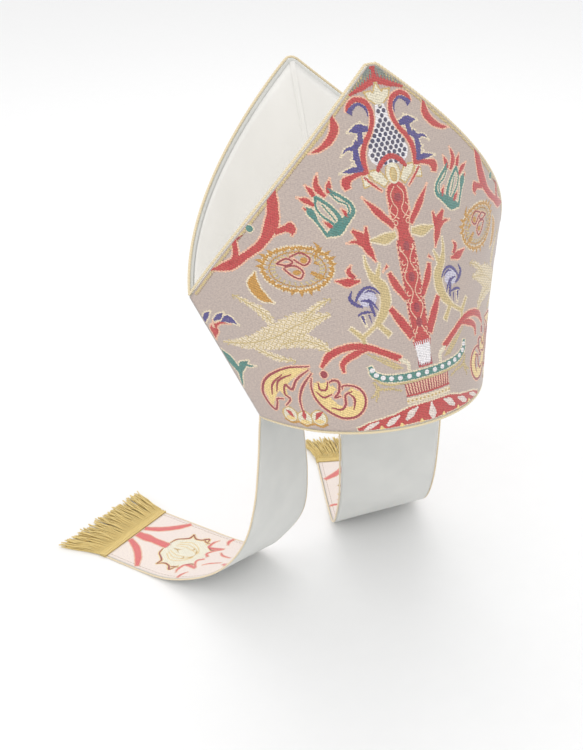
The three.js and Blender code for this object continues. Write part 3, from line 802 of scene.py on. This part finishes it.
def silk_thread(name, colour, metal):
    finish = Finish("thread_" + name, Sheen_Weight=0.3, Metallic=metal)
    place, ribs = twill(finish, 2.1, 1.5)
    speckle = finish.noise(place, 1.3, 3)
    wear = finish.noise(place, 12)
    deep = [c * 0.5 for c in colour[:3]] + [1]
    light = [min(1, c * 1.2 + 0.03) for c in colour[:3]] + [1]
    shade = finish.mix(ribs * 0.55 + (speckle - 0.5) * 1.6 + 0.28, deep, light)
    fleck = finish.node("ShaderNodeMath", {"operation": "GREATER_THAN"}, [finish.noise(place, 0.9, 1), 0.64])
    return finish.set(
        Base_Color=finish.mix(wear * 0.12 + fleck * 0.18, shade, FLECK),
        Roughness=0.38 + speckle * 0.25,
        Normal=finish.bump(ribs + speckle * 0.4, 0.16, 0.7),
    ).material


FINISHES = {name: silk_thread(name, colour, METAL_THREADS.get(name, 0)) for name, colour in THREADS.items()}


def weave_figures(panel, cloth_piece):
    pieces = []
    for colour, parts in figures.points.items():
        flat = np.concatenate(parts)
        centre, _, _ = peak_arc(panel)
        height = np.clip(flat[:, 1], HEM + 0.3, centre + PEAK_RADIUS - FIGURE_MARGIN)
        room = np.maximum(half_width(panel, height) - FIGURE_MARGIN, 0.1)
        distance = np.clip(flat[:, 0], -room, room)
        normal = panel_normal(panel, distance, height)
        points = panel_point(panel, distance, height) + normal * flat[:, 2:]
        faces = np.concatenate(figures.faces[colour])
        if panel["facing"] < 0:
            faces = faces[:, ::-1]
        cloth = np.stack([distance, height, flat[:, 2]], -1)
        name = panel["name"] + "_figures_" + colour
        piece = make_piece(name, on_crown(points), faces, cloth, [FINISHES[colour]])
        pieces.append(piece)
    return pieces


front_figures = weave_figures(FRONT, front_cloth)
back_figures = weave_figures(BACK, back_cloth)


def pattern_area(panel):
    """Square metres of the flat cut."""
    heights = np.linspace(HEM, panel["height"], 400)
    return float(np.mean(2 * half_width(panel, heights))) * (panel["height"] - HEM) / 1e6


for panel, piece, woven in ((FRONT, front_cloth, front_figures), (BACK, back_cloth, back_figures)):
    2 * panel["corner_half_width"] / 1000
    (panel["height"] - HEM) / 1000
    pattern_area(panel)

# ---- crown gusset ---------------------------------------------------------------------------
# White satin, cut in one piece and sewn inside both free edges. It hangs between the peaks in a
# fold from corner to corner, and the sewing draws it into soft creases.
SATIN = 1.0
SEWN_GAP = 0.4
GUSSET_INSET = 3
GUSSET_ROWS = 72
GUSSET_EDGE_ROWS = 56
VALLEY_CENTRE = (36, 114)
VALLEY_NARROWING = 0.88
CREASE = 1.7


def edge_frames(panel, start, rows):
    """Points of the free edge from the right corner over the peak to the left, the way out of
    the cloth's face there and the way out past its edge."""
    heights = edge_heights(panel, start, rows)
    heights = np.concatenate([heights, heights[::-1]])
    side = np.concatenate([np.full(len(heights) // 2, -1.0), np.full(len(heights) // 2, 1.0)])
    distance = side * half_width(panel, heights)
    point = panel_point(panel, distance, heights)
    through = panel_normal(panel, distance * 0.995, heights)
    along = np.gradient(point, axis=0)
    outward = unit(np.cross(through, along)) * -panel["facing"]
    return point, through, outward


def gusset_edge(panel):
    point, through, outward = edge_frames(panel, panel["corner_height"] + 1.5, GUSSET_EDGE_ROWS)
    return point - GUSSET_INSET * outward - (WALL + SEWN_GAP + SATIN / 2) * through


def satin_finish():
    finish = Finish("white_satin", Roughness=0.3, Sheen_Weight=0.3, Coat_Weight=0.15, Coat_Roughness=0.25)
    place, across, up = finish.cloth()
    slub = finish.noise(place, 1.6)
    soft = finish.noise(place, 40)
    weft = up.wave(0.35)
    return finish.set(
        Base_Color=finish.mix(soft, dye(228, 226, 221), dye(238, 236, 232)),
        Roughness=0.28 + slub * 0.12,
        Normal=finish.bump(weft * 0.4 + slub * 0.6 + soft * 4, 0.12, 0.4),
    ).material


front_edge = gusset_edge(FRONT)
back_edge = gusset_edge(BACK)
middle = (front_edge + back_edge) / 2
a = (middle[:, 0] / SEAM_CORNER[0]) ** 2
valley = np.stack(
    [
        middle[:, 0] * VALLEY_NARROWING,
        VALLEY_CENTRE[0] + (SEAM_CORNER[1] - VALLEY_CENTRE[0]) * a,
        VALLEY_CENTRE[1] + (SEAM_CORNER[2] - VALLEY_CENTRE[1]) * a,
    ],
    -1,
)
control = 2 * valley - middle
t = np.linspace(0, 1, GUSSET_ROWS + 1)[:, None, None]
satin = (1 - t) ** 2 * front_edge + 2 * t * (1 - t) * control + t**2 * back_edge
down, along = np.gradient(satin, axis=(0, 1))
satin_normal = unit(np.cross(along, down))
run = np.linspace(-1, 1, satin.shape[1])[None, :]
depth = t[:, :, 0]
fan = np.sin(run * 21 + 5 * depth) * 0.5 + np.sin(run * 47 - 9 * depth + 1) * 0.3 + np.sin(run * 9 + 14 * depth) * 0.6
slack = np.sin(math.pi * depth) ** 1.2 * (1 - run**8)
satin = satin + satin_normal * (CREASE * fan * slack)[:, :, None]
down, along = np.gradient(satin, axis=(0, 1))
satin_normal = unit(np.cross(along, down))
upper = satin + satin_normal * SATIN / 2
lower = satin - satin_normal * SATIN / 2
rows, columns = satin.shape[0] - 1, satin.shape[1] - 1
cloth = np.stack([run * 270 + 0 * depth, depth * 330 + 0 * run, 0 * run + 0 * depth], -1).reshape(-1, 3)
gusset = make_piece(
    "crown_gusset_satin",
    on_crown(np.concatenate([upper.reshape(-1, 3), lower.reshape(-1, 3)])),
    np.concatenate(
        [
            grid_faces(rows, columns, flip=True),
            grid_faces(rows, columns, len(cloth)),
            rim_faces(rows, columns, len(cloth), flip=True),
        ]
    ),
    np.concatenate([cloth, cloth]),
    [satin_finish()],
)
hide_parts("crown_gusset")


def grid_area(grid):
    """Square millimetres."""
    a, b, c, d = grid[:-1, :-1], grid[1:, :-1], grid[1:, 1:], grid[:-1, 1:]
    return float(np.linalg.norm(np.cross(c - a, d - b), axis=-1).sum() / 2)


# The blank is a diamond: one diagonal is the fold, the other runs from peak to peak.
grid_area(satin) / 1e6

# ---- edge and rim piping --------------------------------------------------------------------
# Cream and gold cord, twisted from two strands. It is sewn along both free edges and round the
# rim, where its ends meet at the centre back.
PIPING_RADIUS = 1.3
PIPING_GAP = 0.4
RIM_PIPING_GAP = 0.6
CORD_SIDES = 12
CORD_STEP = 0.9
TWIST = 3.4
STRAND_DEPTH = 0.14


def even_run(points, step):
    """The line again, with points evenly spaced."""
    lengths = np.concatenate([[0], np.cumsum(np.linalg.norm(np.diff(points, axis=0), axis=1))])
    at = np.linspace(0, lengths[-1], max(2, int(lengths[-1] / step)) + 1)
    return np.stack([np.interp(at, lengths, points[:, k]) for k in range(3)], -1), at


def cord_grid(points, radius, step, twist, strand_depth=STRAND_DEPTH, sides=CORD_SIDES, strands=2):
    """Rings of a twisted cord round the line."""
    line, at = even_run(points, step)
    ahead = unit(np.gradient(line, axis=0))
    across = unit(np.cross(ahead[0], (0.31, 0.2, 0.93)))
    acrosses = []
    for direction in ahead:
        across = unit(across - direction * (across @ direction))
        acrosses.append(across)
    across = np.array(acrosses)
    other = np.cross(ahead, across)
    angle = np.linspace(0, 2 * math.pi, sides + 1)[None, :-1]
    wave = np.cos(strands * (angle - 2 * math.pi * at[:, None] / twist / strands))
    size = radius * (1 - strand_depth + strand_depth * wave)
    ring = np.cos(angle)[..., None] * across[:, None] + np.sin(angle)[..., None] * other[:, None]
    grid = line[:, None] + size[..., None] * ring
    cloth = np.stack([angle * radius + 0 * at[:, None], at[:, None] + 0 * angle, 0 * angle + 0 * at[:, None]], -1)
    return grid, cloth


def tube_faces(rings, sides, start=0):
    j, i = np.meshgrid(np.arange(rings - 1), np.arange(sides), indexing="ij")
    a = start + j * sides + i
    b = start + j * sides + (i + 1) % sides
    quads = np.stack([a, b, b + sides, a + sides], -1).reshape(-1, 4)
    return quads.tolist() + [
        list(range(start + sides - 1, start - 1, -1)),
        list(range(start + (rings - 1) * sides, start + rings * sides)),
    ]


def cord_finish(name, light, dark, metal):
    finish = Finish(name, Roughness=0.5, Metallic=metal, Sheen_Weight=0.3)
    place, across, along = finish.cloth()
    strands = (along - across * 0.6).wave(TWIST / 2)
    fibre = finish.noise(place, 0.5)
    return finish.set(
        Base_Color=finish.mix(strands * 0.7 + fibre * 0.3, dark, light),
        Normal=finish.bump(strands + fibre, 0.15, 0.6),
    ).material


PIPING = cord_finish("cream_gold_piping", dye(240, 228, 198), dye(206, 184, 140), 0.1)


def make_cord(name, node, points, radius, finish):
    grid, cloth = cord_grid(np.asarray(points), radius, CORD_STEP, TWIST)
    sides = grid.shape[1]
    piece = make_piece(name, grid.reshape(-1, 3), tube_faces(len(grid), sides), cloth.reshape(-1, 3), [finish])
    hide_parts(node)
    return piece


def edge_piping(panel, node):
    point, through, outward = edge_frames(panel, panel["corner_height"] + 1, GUSSET_EDGE_ROWS)
    line = point - WALL / 2 * through + (PIPING_RADIUS + PIPING_GAP) * outward
    return make_cord(node + "_cord", node, on_crown(line), PIPING_RADIUS, PIPING)


front_piping = edge_piping(FRONT, "front_edge_piping")
back_piping = edge_piping(BACK, "back_edge_piping")


def rim_run(panel, sides):
    distance = sides * panel["rim_half_width"]
    foot = panel_point(panel, distance, np.full_like(distance, HEM))
    above = panel_point(panel, distance, np.full_like(distance, HEM + 6))
    normal = panel_normal(panel, distance * 0.995, np.full_like(distance, HEM + 1))
    return foot - WALL / 2 * normal + unit(foot - above) * (PIPING_RADIUS + RIM_PIPING_GAP)


RIM_POINTS = 60
left_back = rim_run(BACK, np.linspace(0, 0.985, RIM_POINTS))
front_run = rim_run(FRONT, np.linspace(0.985, -0.985, 2 * RIM_POINTS))
right_back = rim_run(BACK, np.linspace(-0.985, 0, RIM_POINTS))
end_gap = np.array([0.4, 0, 0])
left_back[0] += end_gap
right_back[-1] -= end_gap
rim_line = np.concatenate([left_back, front_run, right_back])
rim_piping = make_cord("rim_piping_cord", "rim_piping", on_crown(rim_line), PIPING_RADIUS, PIPING)

# ---- lappets --------------------------------------------------------------------------------
# Two bands of the same brocade, lined with white, sewn inside the back rim. They hang down the
# wearer's back, and here they lie out behind on what the mitre stands over.
LAPPET_THICKNESS = 2
LAPPET_TURN = math.radians(25)
LAPPET_OUTER = -76.5
LAPPET_INNER = 18
LAPPET_SEWN_HEIGHTS = (14, HEM)
LAPPET_SEWN_OUTER = 118
LAPPET_SEWN_INNER = 24
FLOOR = -234
LYING = FLOOR + LAPPET_THICKNESS / 2
LAPPET_PATH = (
    dict(outer=(72, -20), inner=(93, -36)),
    dict(outer=(75, -60), inner=(90, -76)),
    dict(outer=(80, -100), inner=(87, -116)),
    dict(outer=(92, -144), inner=(92, -161)),
    dict(outer=(115, -181), inner=(114, -198)),
    dict(outer=(145, -207), inner=(142, -226)),
    dict(outer=(194, -229), inner=(192, LYING)),
    dict(outer=(231, LYING), inner=(230, LYING)),
    dict(outer=(275, LYING), inner=(275, LYING)),
)
LAPPET_COLUMNS = 32
LAPPET_ROWS = 150
LAPPET_WIDTH = 94
LAPPET_BROCADE = brocade_ground("lappet_brocade", dye(238, 226, 222), dye(246, 236, 218), dye(214, 200, 198))
LAPPET_PIPING_RADIUS = 1
LAPPET_PIPING = cord_finish("lappet_piping", dye(244, 232, 206), dye(214, 190, 150), 0.1)


def lappet_place(side, width, back, up):
    cos, sin = math.cos(LAPPET_TURN), math.sin(LAPPET_TURN)
    return np.array([-side * (width * cos - back * sin), width * sin + back * cos, up])


def centripetal_run(points, count):
    """Evenly spaced points of a centripetal curve through the points."""
    points = np.asarray(points, float)
    padded = np.concatenate([[2 * points[0] - points[1]], points, [2 * points[-1] - points[-2]]])
    samples = []
    for k in range(len(points) - 1):
        p = padded[k : k + 4]
        knots = np.concatenate([[0], np.cumsum(np.linalg.norm(np.diff(p, axis=0), axis=1) ** 0.5)])
        t = np.linspace(knots[1], knots[2], 24, endpoint=False)[:, None]

        def between(a, b, i, j):
            return ((knots[j] - t) * a + (t - knots[i]) * b) / (knots[j] - knots[i])

        a1, a2, a3 = between(p[0], p[1], 0, 1), between(p[1], p[2], 1, 2), between(p[2], p[3], 2, 3)
        b1, b2 = between(a1, a2, 0, 2), between(a2, a3, 1, 3)
        samples.append(between(b1, b2, 1, 2))
    line = np.concatenate([*samples, points[-1:]])
    lengths = np.concatenate([[0], np.cumsum(np.linalg.norm(np.diff(line, axis=0), axis=1))])
    at = np.linspace(0, lengths[-1], count + 1)
    return np.stack([np.interp(at, lengths, line[:, k]) for k in range(3)], -1), lengths[-1]


def lappet_thread(side, f):
    """Points down the lappet, f = 0 at its outer edge and 1 at its inner one."""
    width = LAPPET_OUTER + (LAPPET_INNER - LAPPET_OUTER) * f
    sewn = []
    for height in LAPPET_SEWN_HEIGHTS:
        distance = side * (LAPPET_SEWN_OUTER + (LAPPET_SEWN_INNER - LAPPET_SEWN_OUTER) * f)
        place = panel_point(BACK, distance, height)
        normal = panel_normal(BACK, distance, height)
        sewn.append(on_crown(place + normal * (SEWN_GAP + LAPPET_THICKNESS / 2)))
    hanging = []
    for row in LAPPET_PATH:
        back, up = (row["outer"][k] * (1 - f) + row["inner"][k] * f for k in (0, 1))
        hanging.append(lappet_place(side, width, back, up))
    line, length = centripetal_run([*sewn, *hanging], LAPPET_ROWS)
    line[:, 2] = np.maximum(line[:, 2], LYING)
    return line, length


def lappet_faces(side):
    threads = [lappet_thread(side, i / LAPPET_COLUMNS) for i in range(LAPPET_COLUMNS + 1)]
    middle = np.stack([line for line, _ in threads], 1)
    length = float(np.mean([long for _, long in threads]))
    down, across = np.gradient(middle, axis=(0, 1))
    normal = unit(np.cross(across, down)) * side
    return middle, normal, length


lappet_shapes = {}
for hand, side in (("right", -1), ("left", 1)):
    middle, normal, length = lappet_faces(side)
    if normal[-1, 0, 2] < 0:
        normal = -normal
    lappet_shapes[hand] = (middle, normal, length)
    up_cloth = np.linspace(length, 0, LAPPET_ROWS + 1)[:, None]
    across_cloth = np.linspace(-LAPPET_WIDTH / 2, LAPPET_WIDTH / 2, LAPPET_COLUMNS + 1)[None, :]
    cloth = np.stack([across_cloth + 0 * up_cloth, up_cloth + 0 * across_cloth, 0 * across_cloth + 0 * up_cloth], -1)
    cloth = cloth.reshape(-1, 3)
    outer = middle + normal * LAPPET_THICKNESS / 2
    inner = middle - normal * LAPPET_THICKNESS / 2
    facing = np.cross(middle[1, 0] - middle[0, 0], middle[0, 1] - middle[0, 0]) @ normal[0, 0]
    flip = bool(facing > 0)
    front = grid_faces(LAPPET_ROWS, LAPPET_COLUMNS, flip=flip)
    back = grid_faces(LAPPET_ROWS, LAPPET_COLUMNS, len(cloth), flip=not flip)
    rim = rim_faces(LAPPET_ROWS, LAPPET_COLUMNS, len(cloth), flip=flip)
    slots = [0] * len(front) + [1] * len(back) + [1] * len(rim)
    piece = make_piece(
        f"lappet_{hand}_cloth",
        np.concatenate([outer.reshape(-1, 3), inner.reshape(-1, 3)]),
        np.concatenate([front, back, rim]),
        np.concatenate([cloth + (400, 0, 0), cloth]),
        [LAPPET_BROCADE, LINING_PAINTED_SHADE],
        slots,
    )
    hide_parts(f"lappet_{hand}")

# The lappets' figure: a red stem and two red stems beside it that rise from the fringe to a pale
# blossom, drawn from the middle of the band and up from its end, the same on both.
END_CLEAR = 1.0
lappet_figures = Figures()
stroke = lappet_figures.blade
stroke("lappet_red", [(0, END_CLEAR), (0, 14), (0, 24), (0, 43)], [9, 12, 9, 10], edging="salmon", both=False)
stroke("lappet_red", [(12, END_CLEAR), (20, 16), (32, 29), (44.5, 38)], [6, 8, 7.5, 4.5], edging="salmon")
BLOSSOM = ((41, 20), (47, 44), (56, 54), (66, 56), (76, 56), (86, 38), (91, 14))
stroke("lappet_cream", [(0, up) for up, _ in BLOSSOM], [wide for _, wide in BLOSSOM], EDGING_RISE, both=False)
for line, widths in (
    ([(6, 41.5), (14, 43), (20, 50), (24, 53.5), (31, 53)], [1, 1.6, 1.8, 2, 1]),
    ([(31, 53), (26, 60), (28, 67), (33, 72), (24, 76)], [1, 1.8, 1.8, 2.2, 0.5]),
    ([(31, 68), (27, 72), (26, 80)], [0.5, 1.4, 0.8]),
    ([(19, 83), (16, 88), (17, 92)], [1.4, 2, 0.6]),
):
    stroke("crimson", line, widths, DETAIL_RISE, edging="straw", ragged=0.5)
for line in ([(12, 68), (9, 71), (6, 68)], [(0, 79), (5, 77), (9, 74)], [(4, 60), (0, 55), (0, 50)]):
    stroke("gold", line, [0.6, 2, 0.6], DETAIL_RISE, ragged=0.5)
for reach in (8, 13, 18):
    stroke("straw", [(reach * 0.6, 50), (reach, 60), (reach * 0.8, 72), (reach * 0.3, 80)], [1.2], FIGURE_RISE)
stroke("lappet_red", [(36, 83), (29, 80.5), (20, 82), (20, 90), (24, 99)], [0.5, 2.5, 3, 4.5, 2], edging="salmon")
stroke("lappet_red", [(22, 98), (14, 91), (7, 89), (3, 94)], [2, 2, 2.5, 2.5], edging="salmon")
stroke("lappet_red", [(15, 102), (10, 109), (7, 121)], [1, 2.5, 1.5], edging="salmon")
stroke("lappet_red", [(33, 97), (39, 93.5), (46, 94)], [1, 3.5, 3], edging="salmon")
REPEAT = 118  # the figure starts again this far up
for start in (REPEAT, 2 * REPEAT):
    stroke("lappet_red", [(0, start + 12), (0, start + 30), (0, start + 48)], [2, 10, 8], edging="salmon", both=False)
    stroke("lappet_red", [(12, start + 10), (20, start + 24), (42, start + 44)], [3, 8, 3], edging="salmon")
    stroke("lappet_cream", [(0, start + 48), (0, start + 66), (0, start + 92)], [12, 50, 10], EDGING_RISE, both=False)
    stroke("crimson", [(8, start + 50), (25, start + 58), (22, start + 76), (6, start + 92)], [1.2, 1.8, 1.8, 1], DETAIL_RISE, edging="straw")
    stroke("gold", [(0, start + 54), (0, start + 68), (0, start + 84)], [0.6, 2.2, 0.6], DETAIL_RISE, both=False)
    stroke("lappet_red", [(36, start + 84), (24, start + 84), (20, start + 98)], [0.5, 3, 2], edging="salmon")

FINISHES["lappet_red"] = silk_thread("lappet_red", dye(222, 92, 96), 0)
FINISHES["lappet_cream"] = silk_thread("lappet_cream", dye(250, 238, 214), 0.05)


def on_lappet(hand, across, up, rise):
    """Points over a lappet's brocade face, from places on its flat cloth."""
    middle, normal, length = lappet_shapes[hand]
    row = np.clip((1 - up / length) * LAPPET_ROWS, 0, LAPPET_ROWS - 1e-6)
    column = np.clip((across / LAPPET_WIDTH + 0.5) * LAPPET_COLUMNS, 0, LAPPET_COLUMNS - 1e-6)
    j, i = row.astype(int), column.astype(int)
    v, u = (row - j)[..., None], (column - i)[..., None]

    def between(grid):
        near = grid[j, i] * (1 - u) + grid[j, i + 1] * u
        return near * (1 - v) + (grid[j + 1, i] * (1 - u) + grid[j + 1, i + 1] * u) * v

    away = unit(between(normal))
    return between(middle) + away * (LAPPET_THICKNESS / 2 + rise)[..., None]


LAPPET_STITCH_IN = 3.6
LAPPET_STITCH = 3.0
LAPPET_STITCH_GAP = 1.2
for k in range(int(330 / (LAPPET_STITCH + LAPPET_STITCH_GAP))):
    foot = 2 + k * (LAPPET_STITCH + LAPPET_STITCH_GAP)
    inset = LAPPET_WIDTH / 2 - LAPPET_STITCH_IN
    stroke("thread_brown", [(inset, foot), (inset, foot + LAPPET_STITCH)], [0.5], FIGURE_RISE, ragged=0)

lappet_trim = {}
for hand, side in (("right", -1), ("left", 1)):
    woven = []
    for colour, parts in lappet_figures.points.items():
        flat = np.concatenate(parts)
        points = on_lappet(hand, flat[:, 0], flat[:, 1], flat[:, 2])
        faces = np.concatenate(lappet_figures.faces[colour])
        if side > 0:
            faces = faces[:, ::-1]
        piece = make_piece(f"lappet_{hand}_figures_{colour}", points, faces, flat, [FINISHES[colour]])
        woven.append(piece)
    # The cord beside each edge of the band.
    for edge, f in (("outer", 0), ("inner", 1)):
        line, _ = lappet_thread(side, f)
        inside, _ = lappet_thread(side, f + 0.2 * (0.5 - f))
        centres = line + unit(line - inside) * (LAPPET_PIPING_RADIUS + PIPING_GAP)
        node = f"lappet_{hand}_{edge}_piping"
        woven.append(make_cord(node + "_cord", node, centres, LAPPET_PIPING_RADIUS, LAPPET_PIPING))
    lappet_trim[hand] = woven

# ---- fringe headings ------------------------------------------------------------------------
# A gold braid 8 mm deep is sewn over the end of each lappet. It is plaited from metal thread,
# with a row of slanting plaits between two corded edges.
HEADING_DEPTH = 8
HEADING_OVERHANG = 3
HEADING_THICKNESS = 4
FRINGE_LENGTH = 49
FRINGE_SPREAD = 12


def lappet_end(side):
    start = lappet_place(side, LAPPET_OUTER, LAPPET_PATH[-1]["outer"][0], FLOOR)
    end = lappet_place(side, LAPPET_INNER, LAPPET_PATH[-1]["inner"][0], FLOOR)
    widthways = unit(end - start)
    onward = np.cross((0, 0, 1), widthways) * -side
    return start, end, widthways, onward


def gather(name, cords, finish, node):
    """One piece from many cords, each a grid of rings and its place along the thread."""
    points, cloths, faces, start = [], [], [], 0
    for grid, cloth in cords:
        points.append(grid.reshape(-1, 3))
        cloths.append(cloth.reshape(-1, 3))
        faces += tube_faces(len(grid), grid.shape[1], start)
        start += grid.shape[0] * grid.shape[1]
    piece = make_piece(name, np.concatenate(points), faces, np.concatenate(cloths), [finish])
    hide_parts(node)
    return piece


def bullion_finish(name, light, dark):
    finish = Finish(name, Metallic=0.25)
    place, across, along = finish.cloth()
    coils = (along - across * 0.8).wave(0.7)
    fibre = finish.noise(place, 0.6)
    age = finish.noise(place, 9)
    bright = finish.mix(age * 0.6, light, dark)
    return finish.set(
        Base_Color=finish.mix(coils * 0.7 + fibre * 0.3, dark, bright),
        Roughness=0.3 + fibre * 0.25,
        Normal=finish.bump(coils + fibre * 0.5, 0.2, 0.8),
    ).material


BULLION = bullion_finish("gold_bullion", dye(255, 240, 176), dye(226, 194, 118))
PLAIT_STEP = 1.7
PLAIT_RADIUS = 0.8
for hand, side in (("right", -1), ("left", 1)):
    start, end, widthways, onward = lappet_end(side)
    start = start - widthways * HEADING_OVERHANG
    width = float(np.linalg.norm(end - start)) + HEADING_OVERHANG
    plaits = []
    for near in (0.9, 4.2, 7.5):
        line = [start + widthways * s + onward * (PIPING_GAP + near) + (0, 0, HEADING_THICKNESS - 1.4) for s in (0.5, width - 0.5)]
        plaits.append(cord_grid(np.array(line), 1.0, 0.6, 2.6))
    for row, (near, far) in enumerate(((1.1, 4.2), (4.2, 7.3))):
        for k in range(int((width - 3) / PLAIT_STEP)):
            s = 0.8 + k * PLAIT_STEP
            slant = 1.8 if row == 0 else -1.8
            at = s + (1.8 if row else 0)
            line = [
                start + widthways * (at + slant * f) + onward * (PIPING_GAP + near + (far - near) * f)
                + (0, 0, HEADING_THICKNESS - 1.5 + 0.7 * math.sin(math.pi * f))
                for f in np.linspace(0, 1, 6)
            ]
            plaits.append(cord_grid(np.array(line), PLAIT_RADIUS, 0.6, 1.6, sides=8))
    base = []
    for low in (0.9, 2.0):
        for near in np.arange(0.9, 7.6, 1.65):
            line = [start + widthways * s + onward * (PIPING_GAP + near) + (0, 0, low) for s in (0.4, width - 0.4)]
            base.append(cord_grid(np.array(line), 0.9, 1.5, 3.0, sides=6))
    lappet_trim[hand].append(
        gather(f"fringe_heading_{hand}_braid", plaits + base, BULLION, f"fringe_heading_{hand}")
    )

# ---- fringe ---------------------------------------------------------------------------------
# Twisted metal threads, about 50 mm long, are folded into the heading in two layers. They lie
# unevenly on the floor, and some cross their neighbours.
THREAD_RADIUS = 0.78
THREAD_SPACING = 1.75
LAYERS = 3
rng = np.random.default_rng(7)
for hand, side in (("right", -1), ("left", 1)):
    start, end, widthways, onward = lappet_end(side)
    start = start - widthways * HEADING_OVERHANG
    width = float(np.linalg.norm(end - start)) + HEADING_OVERHANG
    near = PIPING_GAP + HEADING_DEPTH - 0.8
    threads = []
    for layer in range(LAYERS):
        count = int(width / THREAD_SPACING)
        for k in range(count):
            s = (k + 0.5 + 0.33 * layer) / (count + 0.5)
            splay = (2 * s - 1) * FRINGE_SPREAD + rng.normal(0, 2.0)
            long = FRINGE_LENGTH * (1 - 0.1 * abs(rng.normal())) - rng.uniform(0, 3)
            wander, turns, phase = rng.uniform(0.4, 1.3), rng.uniform(1.0, 2.2), rng.uniform(0, 6.3)
            hump = rng.uniform(0, 1.6) if layer else 0
            line = []
            for f in np.linspace(0, 1, 26):
                sway = wander * math.sin(2 * math.pi * turns * f + phase) * f
                rest_height = THREAD_RADIUS + 0.15 + 1.45 * layer
                drop = (HEADING_THICKNESS / 2 + 0.6 * layer) * (1 - f) ** 3 + rest_height * (1 - (1 - f) ** 3)
                rise = drop + hump * math.sin(math.pi * min(1, f * 1.15)) ** 2
                aside = s * width + splay * f**1.3 + sway
                line.append(start + widthways * aside + onward * (near + long * f) + (0, 0, max(rise, THREAD_RADIUS + 0.1)))
            threads.append(cord_grid(np.array(line), THREAD_RADIUS, 1.0, 3.0, 0.2, sides=7))
    lappet_trim[hand].append(gather(f"fringe_{hand}_threads", threads, BULLION, f"fringe_{hand}"))
    # The lappet is one strip of cloth, with its figures, cords, braid and fringe sewn to it.
    lappet_shapes[hand][2] / 1000

# ---- floor, light and camera ----------------------------------------------------------------
# A plain pale floor at the level that the lappets lie on, and soft light from a white studio.
floor_mesh = bpy.data.meshes.new("floor")
REACH = 60.0
corners = [(-REACH, -REACH), (REACH, -REACH), (REACH, REACH), (-REACH, REACH)]
floor_mesh.from_pydata([(x, y, FLOOR / 1000) for x, y in corners], [], [(0, 1, 2, 3)])
floor = bpy.data.objects.new("floor", floor_mesh)
bpy.context.scene.collection.objects.link(floor)
floor_finish = Finish("floor", Roughness=0.7)
floor_speckle = floor_finish.noise(floor_finish.node("ShaderNodeTexCoord", {}, output="Object"), 0.02)
floor_finish.set(Base_Color=floor_finish.mix(floor_speckle, dye(240, 240, 240), dye(242, 242, 242)))
floor_mesh.materials.append(floor_finish.material)

world = bpy.data.worlds.new("studio")
world.use_nodes = True
world.node_tree.nodes["Background"].inputs["Color"].default_value = (1, 1, 1, 1)
world.node_tree.nodes["Background"].inputs["Strength"].default_value = 1.0
bpy.context.scene.world = world
bpy.context.scene.view_settings.view_transform = "Standard"


def soft_box(name, place, aim, size, power):
    light = bpy.data.lights.new(name, "AREA")
    light.shape = "SQUARE"
    light.size = size
    light.energy = power
    lamp = bpy.data.objects.new(name, light)
    bpy.context.scene.collection.objects.link(lamp)
    lamp.location = place
    lamp.rotation_euler = (Vector(aim) - Vector(place)).to_track_quat("-Z", "Y").to_euler()
    return lamp


soft_box("key_light", (-1.1, -0.9, 1.7), (0, 0, 0), 1.5, 9)
soft_box("back_light", (0.7, 1.3, 1.9), (0, 0, 0), 1.6, 9)

CAMERA_PLACE = Vector((-0.5505, -0.791, 0.511))
CAMERA_AZIMUTH = math.radians(-30.433)
CAMERA_ELEVATION = math.radians(26.96)
CAMERA_ROLL = math.radians(-1.15)
lens = bpy.data.cameras.new("camera")
lens.sensor_fit = "VERTICAL"
lens.sensor_height = 36
lens.lens = 58.65
lens.clip_end = 150
camera = bpy.data.objects.new("camera", lens)
bpy.context.scene.collection.objects.link(camera)
turn = Matrix.Rotation(CAMERA_AZIMUTH, 4, "Z") @ Matrix.Rotation(math.pi / 2 - CAMERA_ELEVATION, 4, "X")
camera.matrix_world = Matrix.Translation(CAMERA_PLACE) @ turn @ Matrix.Rotation(CAMERA_ROLL, 4, "Z")
bpy.context.scene.camera = camera
